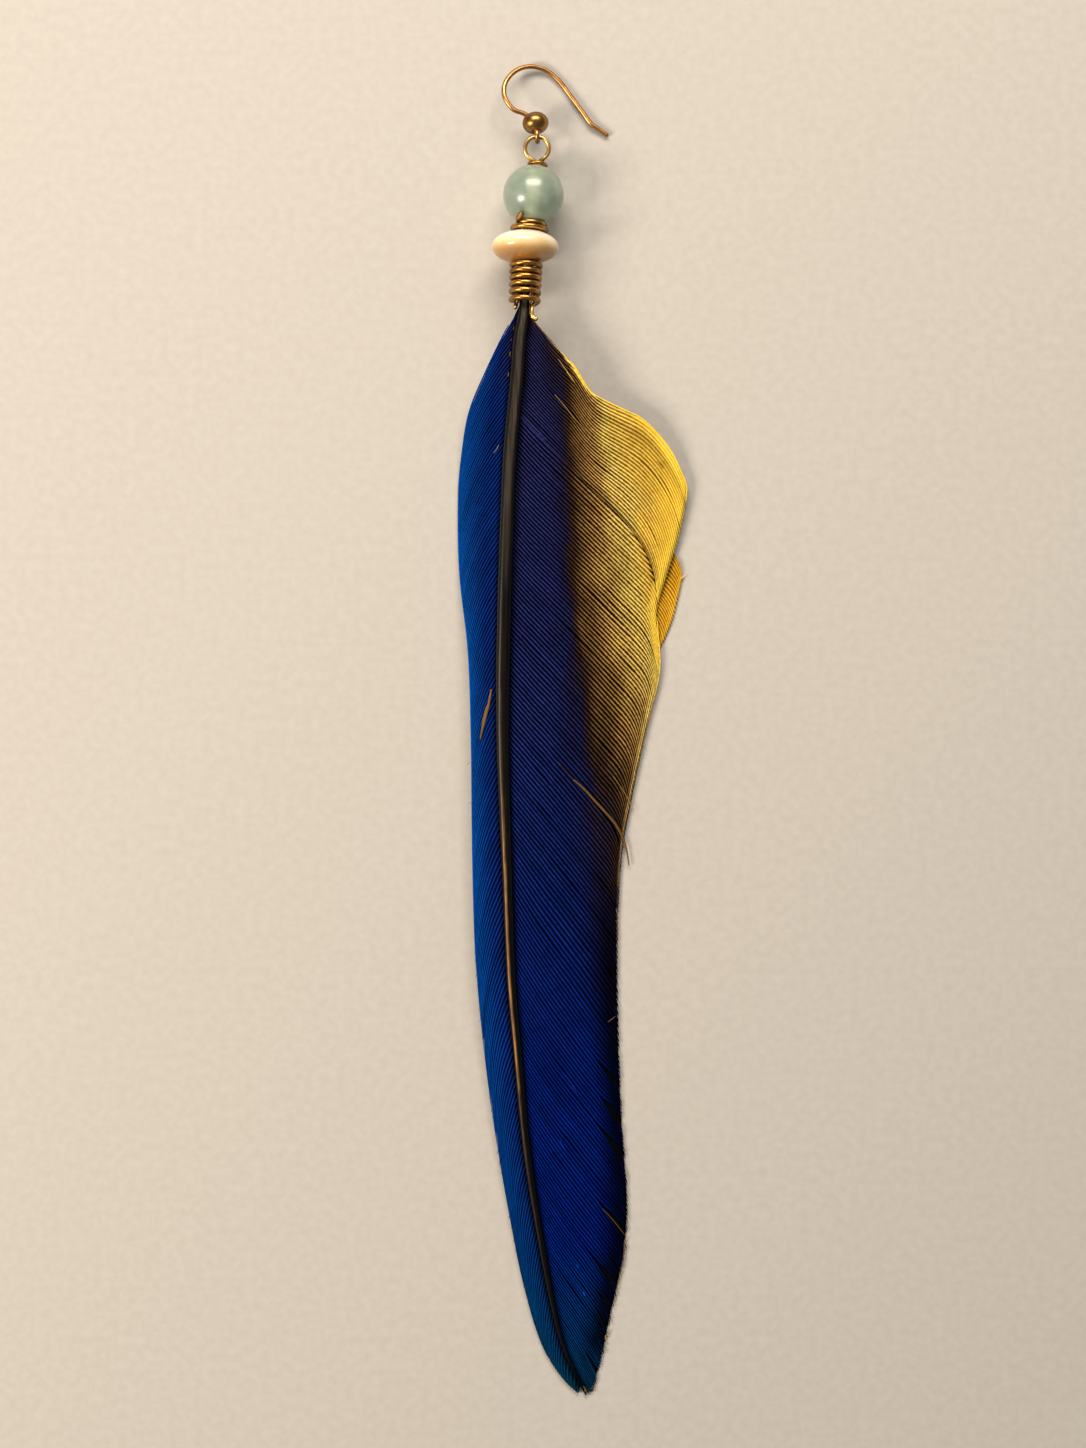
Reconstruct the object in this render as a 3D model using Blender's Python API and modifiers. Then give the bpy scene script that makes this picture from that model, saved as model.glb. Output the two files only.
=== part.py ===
# Macaw wing feather wired into an earring: two beads, a wire eye and a French
# hook. It lies on a surface, hook end toward +Y, tip toward -Y, +Z up.
# The origin is on the surface, below the middle of the whole earring.
# All dimensions are in millimetres; MM turns them into Blender's metres.

import math

import bmesh
import bpy
from mathutils import Vector

MM = 0.001
COLLECTION_NAME = "macaw_feather"

# Feather shaft: (along Y, across X, height Z, radius), quill end to tip.
# The quill end is hidden in the wire wrap.
SHAFT_STATIONS = [
    (59.9, -6.2, 5.45, 0.6),
    (56.4, -6.32, 5.94, 0.64),
    (54.0, -6.5, 6.2, 0.78),
    (51.2, -6.95, 6.45, 0.85),
    (46.5, -7.28, 6.75, 0.92),
    (36.4, -8.2, 7.0, 0.92),
    (25.0, -8.7, 7.0, 0.92),
    (15.8, -8.98, 6.8, 0.92),
    (5.3, -9.18, 6.45, 0.9),
    (-3.9, -9.14, 6.1, 0.8),
    (-19.6, -8.6, 5.2, 0.66),
    (-32.7, -8.1, 4.3, 0.59),
    (-43.2, -7.2, 3.5, 0.56),
    (-55.0, -6.1, 2.55, 0.5),
    (-66.8, -4.3, 1.6, 0.42),
    (-77.3, -2.3, 0.9, 0.3),
    (-82.4, -0.8, 0.6, 0.24),
    (-87.9, 1.85, 0.32, 0.12),
]
SHAFT_STEPS = 30

# Outer edge of the left vane: (along Y, across X, height Z).
LEFT_EDGE = [
    (55.2, -7.2, 6.0),
    (52.5, -8.8, 5.4),
    (47.3, -11.4, 3.9),
    (42.0, -13.65, 2.3),
    (36.8, -14.6, 1.0),
    (31.5, -15.1, 0.3),
    (21.0, -14.95, 0.75),
    (10.6, -13.8, 2.1),
    (0.0, -13.4, 2.6),
    (-17.0, -13.2, 2.4),
    (-30.4, -12.8, 2.0),
    (-40.6, -11.9, 1.5),
    (-52.4, -10.35, 0.9),
    (-64.5, -8.25, 0.5),
    (-73.4, -6.4, 0.35),
    (-81.2, -3.7, 0.25),
    (-85.8, -0.7, 0.22),
    (-87.5, 0.9, 0.22),
]

# Outer edge of the right vane, which starts with the one long first barb.
RIGHT_EDGE = [
    (55.2, -6.0, 6.1),
    (53.8, -5.3, 6.0),
    (47.9, 0.25, 5.0),
    (44.5, 2.25, 4.2),
    (43.5, 3.6, 3.8),
    (42.0, 7.0, 3.0),
    (41.2, 8.8, 2.6),
    (39.4, 10.9, 2.0),
    (36.8, 13.0, 1.4),
    (34.2, 14.3, 1.0),
    (31.9, 15.1, 0.8),
    (26.3, 14.2, 0.6),
    (21.0, 12.6, 0.48),
    (15.8, 11.15, 0.45),
    (7.9, 11.4, 0.45),
    (0.0, 9.55, 0.4),
    (-9.1, 7.6, 0.3),
    (-17.0, 6.3, 0.25),
    (-30.4, 5.85, 0.22),
    (-48.5, 6.35, 0.22),
    (-62.9, 7.2, 0.22),
    (-69.4, 6.7, 0.22),
    (-76.0, 5.25, 0.22),
    (-83.9, 3.5, 0.22),
    (-87.5, 2.4, 0.22),
]

VANE_ROWS = 50
VANE_THICKNESS_ROOT = 0.4
VANE_THICKNESS_EDGE = 0.28
LEFT_COLUMNS = [1.0, 0.7, 0.35, 0.0]
RIGHT_COLUMNS = [0.2, 0.4, 0.6, 0.8, 1.0]
CAMBER_POWER = 1.4
VANE_ROOT_DROP = 0.25

# The barb group that is folded behind the right edge lies flat on the surface.
FLAP_OUTLINE = [
    (13.3, 23.2),
    (14.1, 21.6),
    (14.5, 20.2),
    (13.8, 16.5),
    (12.9, 13.6),
    (11.5, 10.6),
    (10.4, 13.0),
    (10.3, 17.5),
    (11.6, 22.0),
]
FLAP_THICKNESS = 0.42

# Gaps where barbs have parted at an edge: (inner tip, middle of the mouth).
EDGE_GAPS = [
    ((3.4, -43.7), (6.6, -51.2)),
    ((3.9, -53.7), (7.4, -58.5)),
    ((2.5, -61.4), (7.5, -67.2)),
    ((1.5, -68.2), (6.3, -73.9)),
    ((3.1, -74.0), (5.2, -79.0)),
    ((1.0, -81.3), (3.3, -85.7)),
    ((12.0, 30.5), (14.9, 25.4)),
    ((-11.2, -30.5), (-12.9, -37.0)),
    ((-10.4, -35.5), (-12.0, -42.2)),
    ((-9.6, -42.0), (-11.0, -49.2)),
]
EDGE_GAP_MOUTH = 0.5
EDGE_GAP_CUTTER_BOTTOM = -1.0
EDGE_GAP_CUTTER_HEIGHT = 8.0

# Beads, each turned about its own hole.
GREEN_BEAD_CENTRE = Vector((-5.18, 70.24, 4.0))
GREEN_BEAD_RADIUS = 3.99
GREEN_BEAD_AXIS = Vector((0.13, 0.982, -0.139)).normalized()
DISC_BEAD_CENTRE = Vector((-6.27, 63.3, 4.97))
DISC_BEAD_RADIUS = 4.37
DISC_BEAD_HALF_THICKNESS = 2.15
DISC_BEAD_AXIS = Vector((0.02, 0.99, -0.139)).normalized()
BEAD_HOLE_RADIUS = 0.68
BEAD_TURN_STEPS = 28
GREEN_BEAD_PROFILE_STEPS = 14
DISC_BEAD_PROFILE_STEPS = 12

# Collar ring on top of the green bead.
COLLAR_RING_RADIUS = 1.1
COLLAR_WIRE_RADIUS = 0.25
COLLAR_DISTANCE = 4.16
COLLAR_SIDES = 8
COLLAR_TURN_STEPS = 22

# Spacer coil. It steps from its top turn down to its bottom turn within the
# part of a turn that lies underneath.
COIL_WIRE_RADIUS = 0.32
COIL_TURNS = 1.6
COIL_START_ANGLE = 150.0
COIL_STEP_DOWN_FROM = 0.6
COIL_STEP_DOWN_TO = 0.95
COIL_STEPS_PER_TURN = 14
COIL_AXIS = Vector((0.06, 0.985, -0.139)).normalized()
COIL_TOP_CENTRE = Vector((-5.55, 66.3, 4.54))
COIL_BOTTOM_CENTRE = Vector((-5.75, 65.66, 4.63))
COIL_TOP_RADIUS = 1.83
COIL_BOTTOM_RADIUS = 2.2
COIL_END = [Vector((-7.1, 67.0, 6.7)), Vector((-6.72, 67.5, 7.25))]

# Wrap of thicker wire: middle line from the disc bead down the quill to the
# last turn, and the step down after each turn. A turn runs level over the
# front and steps down behind; the last one stops there.
WRAP_WIRE_RADIUS = 0.375
WRAP_START = Vector((-6.15, 60.84, 5.32))
WRAP_END = Vector((-6.335, 56.26, 5.965))
WRAP_STEPS = [0.88, 0.84, 0.88, 0.98, 1.05, 0.9]
WRAP_LAST_TURN = 0.7
WRAP_START_RADIUS = 1.82
WRAP_END_RADIUS = 1.74

# Eye wire: a flat round eye, its legs side by side in the beads and on both
# sides of the quill.
EYE_CENTRE = Vector((-4.72, 76.4, 3.4))
EYE_RADIUS = 1.57
EYE_WIRE_RADIUS = 0.28
EYE_ARC_END = -48.0
EYE_STEPS = 20
LEG_STEPS = 2
LEG_OFFSET_IN_BEADS = 0.32
LEG_OFFSET_AT_QUILL = 1.05
LEG_LINE = [
    (Vector((-4.69, 74.7, 3.41)), 0.36),
    (Vector((-4.69, 74.2, 3.44)), LEG_OFFSET_IN_BEADS),
    (Vector((-5.18, 70.24, 4.0)), LEG_OFFSET_IN_BEADS),
    (Vector((-5.70, 66.32, 4.55)), LEG_OFFSET_IN_BEADS),
    (Vector((-6.23, 65.4, 4.68)), LEG_OFFSET_IN_BEADS),
    (Vector((-6.31, 61.5, 5.22)), LEG_OFFSET_IN_BEADS),
    (Vector((-6.31, 61.05, 5.28)), 0.32),
    (Vector((-6.22, 60.15, 5.42)), LEG_OFFSET_AT_QUILL),
    (Vector((-6.32, 56.4, 5.96)), LEG_OFFSET_AT_QUILL),
]
LEFT_LEG_END = [Vector((-7.58, 55.2, 6.45))]
RIGHT_LEG_END = [Vector((-5.4, 55.0, 6.42)), Vector((-5.3, 54.1, 6.55)), Vector((-4.75, 53.7, 6.62))]

# Ear wire. The hook lies in one sloping plane through the ball's centre; its
# points are across and along in that plane's plan view, ball to cut end.
EAR_WIRE_RADIUS = 0.32
BALL_CENTRE = Vector((-4.92, 79.81, 2.95))
BALL_RADIUS = 1.72
BALL_HALF_HEIGHT = 1.48
HOOK_SLOPE_X = -0.311
HOOK_SLOPE_Y = -0.272
HOOK_PLAN = [
    (-6.2, 80.9),
    (-7.88, 81.6),
    (-8.98, 83.3),
    (-8.84, 85.2),
    (-7.48, 86.85),
    (-5.57, 87.5),
    (-3.46, 87.03),
    (-1.76, 85.6),
    (-0.38, 83.8),
    (1.13, 81.75),
    (2.37, 80.05),
    (3.38, 79.35),
    (4.51, 78.55),
]
SMALL_LOOP_RADIUS = 0.78
SMALL_LOOP_PLAY = 0.1
SMALL_LOOP_START = 55.0
SMALL_LOOP_END = 318.0
SMALL_LOOP_STEPS = 16
STEM_RISE = 1.1
STEM_SIDE = 0.15
HOOK_STEPS = 3
BALL_SEGMENTS = 22
BALL_RINGS = 10

CLEARANCE = 0.06


def clear_scene():
    for old in list(bpy.data.objects):
        bpy.data.objects.remove(old, do_unlink=True)


def make_collection(name):
    made = bpy.data.collections.new(name)
    bpy.context.scene.collection.children.link(made)
    return made


def make_material(name, colour, roughness, metallic):
    made = bpy.data.materials.new(name)
    made.use_nodes = True
    shader = made.node_tree.nodes["Principled BSDF"]
    shader.inputs["Base Color"].default_value = (*colour, 1.0)
    shader.inputs["Roughness"].default_value = roughness
    shader.inputs["Metallic"].default_value = metallic
    made.diffuse_color = (*colour, 1.0)
    return made


def metres(point):
    return Vector(point) * MM


# A smooth value at one place along a list of stations, which run down in Y.
# Each station is (y, value, value, ...). The slope at a station is the one
# between its neighbours.
def values_at(stations, y):
    last = len(stations) - 1
    y = min(max(y, stations[last][0]), stations[0][0])
    index = 0
    while index < last - 1 and y < stations[index + 1][0]:
        index += 1
    first, second = stations[index], stations[index + 1]
    before = stations[max(index - 1, 0)]
    after = stations[min(index + 2, last)]
    span = second[0] - first[0]
    t = (y - first[0]) / span
    result = []
    for k in range(1, len(first)):
        slope_first = (second[k] - before[k]) / (second[0] - before[0]) * span
        slope_second = (after[k] - first[k]) / (after[0] - first[0]) * span
        value = (2 * t**3 - 3 * t**2 + 1) * first[k] + (t**3 - 2 * t**2 + t) * slope_first
        value += (3 * t**2 - 2 * t**3) * second[k] + (t**3 - t**2) * slope_second
        result.append(value)
    return result


# A smooth path through points, with a number of steps between each two.
def smooth_path(points, steps):
    path = []
    last = len(points) - 1
    for index in range(last):
        before = points[max(index - 1, 0)]
        first, second = points[index], points[index + 1]
        after = points[min(index + 2, last)]
        for step in range(steps):
            t = step / steps
            place = 0.5 * (
                2 * first
                + (second - before) * t
                + (2 * before - 5 * first + 4 * second - after) * t**2
                + (3 * first - before - 3 * second + after) * t**3
            )
            path.append(place)
    path.append(points[last])
    return path


def add_object(name, mesh, collection, material):
    made = bpy.data.objects.new(name, mesh)
    collection.objects.link(made)
    if material:
        mesh.materials.append(material)
    return made


# The mesh of a curve object as it is evaluated, caps welded, in its place.
def curve_to_mesh_object(curve_object, name, collection, material):
    bpy.context.view_layer.update()
    evaluated = curve_object.evaluated_get(bpy.context.evaluated_depsgraph_get())
    mesh = bpy.data.meshes.new_from_object(evaluated)
    mesh.name = name
    mesh.materials.clear()
    work = bmesh.new()
    work.from_mesh(mesh)
    bmesh.ops.remove_doubles(work, verts=work.verts, dist=0.002 * MM)
    bmesh.ops.recalc_face_normals(work, faces=work.faces)
    work.to_mesh(mesh)
    work.free()
    made = add_object(name, mesh, collection, material)
    made.matrix_world = curve_object.matrix_world.copy()
    bpy.data.objects.remove(curve_object, do_unlink=True)
    return made


# A round wire along points; widths scale its radius point by point.
def make_wire(name, points, radius, collection, material, widths=None):
    curve = bpy.data.curves.new(name + "_curve", "CURVE")
    curve.dimensions = "3D"
    curve.bevel_depth = radius * MM
    curve.bevel_resolution = 2
    curve.use_fill_caps = True
    spline = curve.splines.new("POLY")
    spline.points.add(len(points) - 1)
    for index, point in enumerate(points):
        spline.points[index].co = (*metres(point), 1.0)
        spline.points[index].radius = widths[index] if widths else 1.0
    curve_object = bpy.data.objects.new(name + "_curve", curve)
    collection.objects.link(curve_object)
    made = curve_to_mesh_object(curve_object, name, collection, material)
    made.data.shade_smooth()
    return made


# A flat plate of a plan outline, from a 2D curve.
def make_plate(name, outline, bottom, thickness, collection, material):
    curve = bpy.data.curves.new(name + "_curve", "CURVE")
    curve.dimensions = "2D"
    curve.fill_mode = "BOTH"
    curve.extrude = thickness / 2 * MM
    spline = curve.splines.new("POLY")
    spline.points.add(len(outline) - 1)
    for index, (x, y) in enumerate(outline):
        spline.points[index].co = (x * MM, y * MM, 0.0, 1.0)
    spline.use_cyclic_u = True
    curve_object = bpy.data.objects.new(name + "_curve", curve)
    curve_object.location.z = (bottom + thickness / 2) * MM
    collection.objects.link(curve_object)
    return curve_to_mesh_object(curve_object, name, collection, material)


# A turned ring or bead: a closed profile of (radius, height) about local Z.
def make_turned(name, profile, centre, axis, steps, collection, material):
    mesh = bpy.data.meshes.new(name)
    vertices = [(radius * MM, 0.0, height * MM) for radius, height in profile]
    edges = [(i, (i + 1) % len(vertices)) for i in range(len(vertices))]
    mesh.from_pydata(vertices, edges, [])
    made = add_object(name, mesh, collection, material)
    made.location = metres(centre)
    made.rotation_mode = "QUATERNION"
    made.rotation_quaternion = axis.to_track_quat("Z", "Y")
    screw = made.modifiers.new("Turn", "SCREW")
    screw.steps = steps
    screw.render_steps = steps
    screw.use_merge_vertices = True
    screw.merge_threshold = 0.00001
    screw.use_smooth_shade = True
    return made


def add_boolean(target, cutter, operation):
    boolean = target.modifiers.new(operation.title(), "BOOLEAN")
    boolean.operation = operation
    boolean.solver = "EXACT"
    boolean.object = cutter
    cutter.hide_render = True
    cutter.display_type = "WIRE"


# Profile of a bead from the top of its hole, down the outside, up the hole.
def bead_profile(radius, half_height, hole, count):
    start = math.acos(hole / radius)
    profile = []
    for index in range(count + 1):
        angle = start - 2 * start * index / count
        profile.append((radius * math.cos(angle), half_height * math.sin(angle)))
    return profile


# Vane plate: sections across the feather at rows down its length.
def vane_section(y):
    shaft_x, shaft_z, shaft_radius = values_at(SHAFT_STATIONS, y)
    left_x, left_z = values_at(LEFT_EDGE, y)
    right_x, right_z = values_at(RIGHT_EDGE, y)
    root_z = shaft_z - VANE_ROOT_DROP * shaft_radius
    top = []
    bottom = []
    for side_x, side_z, columns in ((left_x, left_z, LEFT_COLUMNS), (right_x, right_z, RIGHT_COLUMNS)):
        for share in columns:
            x = shaft_x + (side_x - shaft_x) * share
            z = root_z + (side_z - root_z) * share**CAMBER_POWER
            half = (VANE_THICKNESS_ROOT * (1 - share) + VANE_THICKNESS_EDGE * share) / 2
            top.append(metres((x, y, max(z, VANE_THICKNESS_EDGE / 2) + half)))
            bottom.append(metres((x, y, max(z - half, 0.02))))
    return top + bottom[::-1]


def make_vanes(collection, material):
    rows = []
    first, last = LEFT_EDGE[0][0], LEFT_EDGE[-1][0]
    for index in range(VANE_ROWS + 1):
        rows.append(vane_section(first + (last - first) * index / VANE_ROWS))
    count = len(rows[0])
    mesh = bpy.data.meshes.new("vanes")
    vertices = [point for row in rows for point in row]
    faces = []
    for row in range(VANE_ROWS):
        for column in range(count):
            following = (column + 1) % count
            a, b = row * count + column, row * count + following
            faces.append((a, b, b + count, a + count))
    faces.append(tuple(range(count))[::-1])
    faces.append(tuple(VANE_ROWS * count + i for i in range(count)))
    mesh.from_pydata(vertices, [], faces)
    work = bmesh.new()
    work.from_mesh(mesh)
    bmesh.ops.triangulate(work, faces=work.faces)
    bmesh.ops.recalc_face_normals(work, faces=work.faces)
    work.to_mesh(mesh)
    work.free()
    return add_object("feather", mesh, collection, material)


def make_feather(collection, cutters, material):
    feather = make_vanes(collection, material)
    first, last = SHAFT_STATIONS[0][0], SHAFT_STATIONS[-1][0]
    points = []
    widths = []
    for index in range(SHAFT_STEPS + 1):
        y = first + (last - first) * index / SHAFT_STEPS
        x, z, radius = values_at(SHAFT_STATIONS, y)
        points.append(Vector((x, y, z)))
        widths.append(radius)
    shaft = make_wire("shaft_form", points, 1.0, cutters, None, widths)
    add_boolean(feather, shaft, "UNION")
    flap = make_plate("flap_form", FLAP_OUTLINE, 0.0, FLAP_THICKNESS, cutters, None)
    add_boolean(feather, flap, "UNION")
    for index, (tip, mouth) in enumerate(EDGE_GAPS):
        along = Vector((mouth[0] - tip[0], mouth[1] - tip[1])).normalized()
        across = Vector((-along.y, along.x)) * EDGE_GAP_MOUTH / 2
        corner_a = (mouth[0] + across.x, mouth[1] + across.y)
        corner_b = (mouth[0] - across.x, mouth[1] - across.y)
        name = "edge_gap_" + str(index + 1)
        outline = [tip, corner_b, corner_a]
        gap = make_plate(name, outline, EDGE_GAP_CUTTER_BOTTOM, EDGE_GAP_CUTTER_HEIGHT, cutters, None)
        add_boolean(feather, gap, "DIFFERENCE")
    return feather


def make_beads(collection, green, bone):
    steps = BEAD_TURN_STEPS
    profile = bead_profile(GREEN_BEAD_RADIUS, GREEN_BEAD_RADIUS, BEAD_HOLE_RADIUS, GREEN_BEAD_PROFILE_STEPS)
    make_turned("aventurine_bead", profile, GREEN_BEAD_CENTRE, GREEN_BEAD_AXIS, steps, collection, green)
    profile = bead_profile(DISC_BEAD_RADIUS, DISC_BEAD_HALF_THICKNESS, BEAD_HOLE_RADIUS, DISC_BEAD_PROFILE_STEPS)
    make_turned("disc_bead", profile, DISC_BEAD_CENTRE, DISC_BEAD_AXIS, steps, collection, bone)


def make_collar(collection, brass):
    profile = []
    for index in range(COLLAR_SIDES):
        angle = -math.tau * index / COLLAR_SIDES
        radius = COLLAR_RING_RADIUS + COLLAR_WIRE_RADIUS * math.cos(angle)
        profile.append((radius, COLLAR_WIRE_RADIUS * math.sin(angle)))
    centre = GREEN_BEAD_CENTRE + GREEN_BEAD_AXIS * COLLAR_DISTANCE
    make_turned("collar_ring", profile, centre, GREEN_BEAD_AXIS, COLLAR_TURN_STEPS, collection, brass)


# One place on a coil about a middle line, with its sideways and upward axes.
def coil_point(centre, axis, radius, angle):
    across = Vector((1, 0, 0))
    across = (across - axis * across.dot(axis)).normalized()
    up = across.cross(axis)
    if up.z < 0:
        up = -up
    return centre + (across * math.cos(angle) + up * math.sin(angle)) * radius


def make_spacer_coil(collection, brass):
    steps = int(COIL_TURNS * COIL_STEPS_PER_TURN)
    points = list(reversed(COIL_END))
    for index in range(steps + 1):
        share = index / steps
        turn = share * COIL_TURNS
        step_down = (turn - COIL_STEP_DOWN_FROM) / (COIL_STEP_DOWN_TO - COIL_STEP_DOWN_FROM)
        fall = min(max(step_down, 0.0), 1.0)
        centre = COIL_TOP_CENTRE.lerp(COIL_BOTTOM_CENTRE, fall)
        radius = COIL_TOP_RADIUS + (COIL_BOTTOM_RADIUS - COIL_TOP_RADIUS) * fall
        angle = math.radians(COIL_START_ANGLE) - math.tau * turn
        points.append(coil_point(centre, COIL_AXIS, radius, angle))
    make_wire("spacer_coil", points, COIL_WIRE_RADIUS, collection, brass)


def make_wrap(collection, brass):
    length = sum(WRAP_STEPS[:-1])
    axis = (WRAP_START - WRAP_END).normalized()
    points = []
    for turn, step in enumerate(WRAP_STEPS):
        done = sum(WRAP_STEPS[:turn])
        count = COIL_STEPS_PER_TURN
        if turn == len(WRAP_STEPS) - 1:
            count = round(count * WRAP_LAST_TURN)
        for index in range(count):
            turned = index / COIL_STEPS_PER_TURN
            share = (done + step * max(2 * turned - 1, 0.0)) / length
            centre = WRAP_START.lerp(WRAP_END, share)
            radius = WRAP_START_RADIUS + (WRAP_END_RADIUS - WRAP_START_RADIUS) * share
            points.append(coil_point(centre, axis, radius, math.pi - math.tau * turned))
    make_wire("wire_wrap", points, WRAP_WIRE_RADIUS, collection, brass)


def make_eye_wire(collection, brass):
    left = []
    right = []
    for centre, offset in LEG_LINE:
        left.append(centre - Vector((offset, 0, 0)))
        right.append(centre + Vector((offset, 0, 0)))
    left += LEFT_LEG_END
    right += RIGHT_LEG_END
    eye = []
    span = 180 - 2 * EYE_ARC_END
    for index in range(EYE_STEPS + 1):
        angle = math.radians(180 - EYE_ARC_END - span * index / EYE_STEPS)
        eye.append(EYE_CENTRE + Vector((math.cos(angle), math.sin(angle), 0)) * EYE_RADIUS)
    points = smooth_path(list(reversed(left)), LEG_STEPS) + eye + smooth_path(right, LEG_STEPS)
    make_wire("eye_wire", points, EYE_WIRE_RADIUS, collection, brass)


def hook_height(x, y):
    return BALL_CENTRE.z + HOOK_SLOPE_X * (x - BALL_CENTRE.x) + HOOK_SLOPE_Y * (y - BALL_CENTRE.y)


# Centre of the small loop, and the direction from it to the ball.
def small_loop_frame():
    eye_top = EYE_CENTRE + Vector((0, EYE_RADIUS, 0))
    to_ball = (BALL_CENTRE - eye_top).normalized()
    return eye_top + to_ball * SMALL_LOOP_PLAY, to_ball


def ear_wire_points():
    centre, to_ball = small_loop_frame()
    side = Vector((1, 0, 0)).cross(to_ball).normalized()
    loop = []
    for index in range(SMALL_LOOP_STEPS + 1):
        share = index / SMALL_LOOP_STEPS
        angle = math.radians(SMALL_LOOP_END + (SMALL_LOOP_START - SMALL_LOOP_END) * share)
        arm = to_ball * math.cos(angle) + side * math.sin(angle)
        loop.append(centre + arm * SMALL_LOOP_RADIUS)
    hook = [Vector((x, y, hook_height(x, y))) for x, y in HOOK_PLAN]
    stem = [loop[-1], centre + to_ball * STEM_RISE + side * STEM_SIDE, BALL_CENTRE]
    return loop[:-1] + smooth_path(stem + hook, HOOK_STEPS)


def make_ear_wire(collection, cutters, brass, dark_brass):
    points = ear_wire_points()
    make_wire("ear_wire", points, EAR_WIRE_RADIUS, collection, brass)
    centre, to_ball = small_loop_frame()
    radius = BALL_RADIUS * MM
    bpy.ops.mesh.primitive_uv_sphere_add(segments=BALL_SEGMENTS, ring_count=BALL_RINGS, radius=radius)
    ball = bpy.context.object
    ball.name = "hook_ball"
    bpy.ops.object.shade_smooth()
    for vertex in ball.data.vertices:
        vertex.co.z *= BALL_HALF_HEIGHT / BALL_RADIUS
    ball.location = metres(BALL_CENTRE)
    ball.rotation_mode = "QUATERNION"
    ball.rotation_quaternion = to_ball.to_track_quat("Z", "Y")
    ball.data.materials.append(dark_brass)
    for holder in list(ball.users_collection):
        holder.objects.unlink(ball)
    collection.objects.link(ball)
    past_end = points[0] + (points[0] - points[1]).normalized() * 2 * CLEARANCE
    hole = make_wire("ball_hole", [past_end] + points, EAR_WIRE_RADIUS + CLEARANCE, cutters, None)
    add_boolean(ball, hole, "DIFFERENCE")


def main():
    clear_scene()
    parts = make_collection(COLLECTION_NAME)
    cutters = make_collection(COLLECTION_NAME + "_forms")
    keratin = make_material("macaw_keratin", (0.01, 0.04, 0.32), 0.5, 0.0)
    brass = make_material("antiqued_brass", (0.45, 0.24, 0.08), 0.32, 1.0)
    dark_brass = make_material("dark_brass", (0.25, 0.14, 0.06), 0.38, 1.0)
    green = make_material("green_aventurine", (0.38, 0.53, 0.42), 0.12, 0.0)
    bone = make_material("polished_bone", (0.8, 0.66, 0.45), 0.2, 0.0)
    make_feather(parts, cutters, keratin)
    make_wrap(parts, brass)
    make_beads(parts, green, bone)
    make_spacer_coil(parts, brass)
    make_collar(parts, brass)
    make_eye_wire(parts, brass)
    make_ear_wire(parts, cutters, brass, dark_brass)


main()
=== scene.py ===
import math
import random

import bpy
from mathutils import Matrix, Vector, noise


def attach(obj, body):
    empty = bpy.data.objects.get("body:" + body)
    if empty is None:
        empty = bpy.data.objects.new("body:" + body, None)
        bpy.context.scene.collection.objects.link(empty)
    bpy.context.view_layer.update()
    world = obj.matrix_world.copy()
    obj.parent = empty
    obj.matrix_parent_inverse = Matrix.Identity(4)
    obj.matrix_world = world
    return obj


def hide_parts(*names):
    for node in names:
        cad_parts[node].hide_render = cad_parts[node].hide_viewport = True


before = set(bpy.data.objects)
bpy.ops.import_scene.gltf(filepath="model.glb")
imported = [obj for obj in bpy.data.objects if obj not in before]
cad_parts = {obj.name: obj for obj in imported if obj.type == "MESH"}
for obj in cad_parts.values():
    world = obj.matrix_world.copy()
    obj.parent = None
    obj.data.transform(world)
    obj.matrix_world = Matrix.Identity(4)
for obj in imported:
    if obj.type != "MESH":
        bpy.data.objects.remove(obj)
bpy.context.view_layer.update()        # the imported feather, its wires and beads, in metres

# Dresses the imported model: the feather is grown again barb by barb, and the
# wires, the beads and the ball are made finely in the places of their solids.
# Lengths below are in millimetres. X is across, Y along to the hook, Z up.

scene = bpy.context.scene
metresPerMm = 0.001
pixelsPerMm = 7.625            # of the photograph, at the feather's mean height
photoOrigin = (573.0, 730.5)   # the pixel over the origin


# A place on the feather from the column and row where the photograph shows it.
def spot(column, row):
    return (column - photoOrigin[0]) / pixelsPerMm, (photoOrigin[1] - row) / pixelsPerMm


def rowOf(y):
    return photoOrigin[1] - y * pixelsPerMm


def clamp(value, low=0.0, high=1.0):
    return min(max(value, low), high)


def ease(low, high, value):
    t = clamp((value - low) / (high - low))
    return t * t * (3 - 2 * t)


# Straight-line reading of a list of (place, value, value...), places rising.
def readRow(stations, place):
    place = clamp(place, stations[0][0], stations[-1][0])
    for first, second in zip(stations, stations[1:]):
        if place <= second[0]:
            t = (place - first[0]) / (second[0] - first[0])
            return [a + (b - a) * t for a, b in zip(first[1:], second[1:])]


# Smooth reading of stations (y, value, value...) that run down in Y.
def stationValues(stations, y):
    last = len(stations) - 1
    y = clamp(y, stations[last][0], stations[0][0])
    index = 0
    while index < last - 1 and y < stations[index + 1][0]:
        index += 1
    first, second = stations[index], stations[index + 1]
    before, after = stations[max(index - 1, 0)], stations[min(index + 2, last)]
    span = second[0] - first[0]
    t = (y - first[0]) / span
    values = []
    for k in range(1, len(first)):
        slopeFirst = (second[k] - before[k]) / (second[0] - before[0]) * span
        slopeSecond = (after[k] - first[k]) / (after[0] - first[0]) * span
        value = (2 * t**3 - 3 * t**2 + 1) * first[k] + (t**3 - 2 * t**2 + t) * slopeFirst
        value += (3 * t**2 - 2 * t**3) * second[k] + (t**3 - t**2) * slopeSecond
        values.append(value)
    return values


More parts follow.
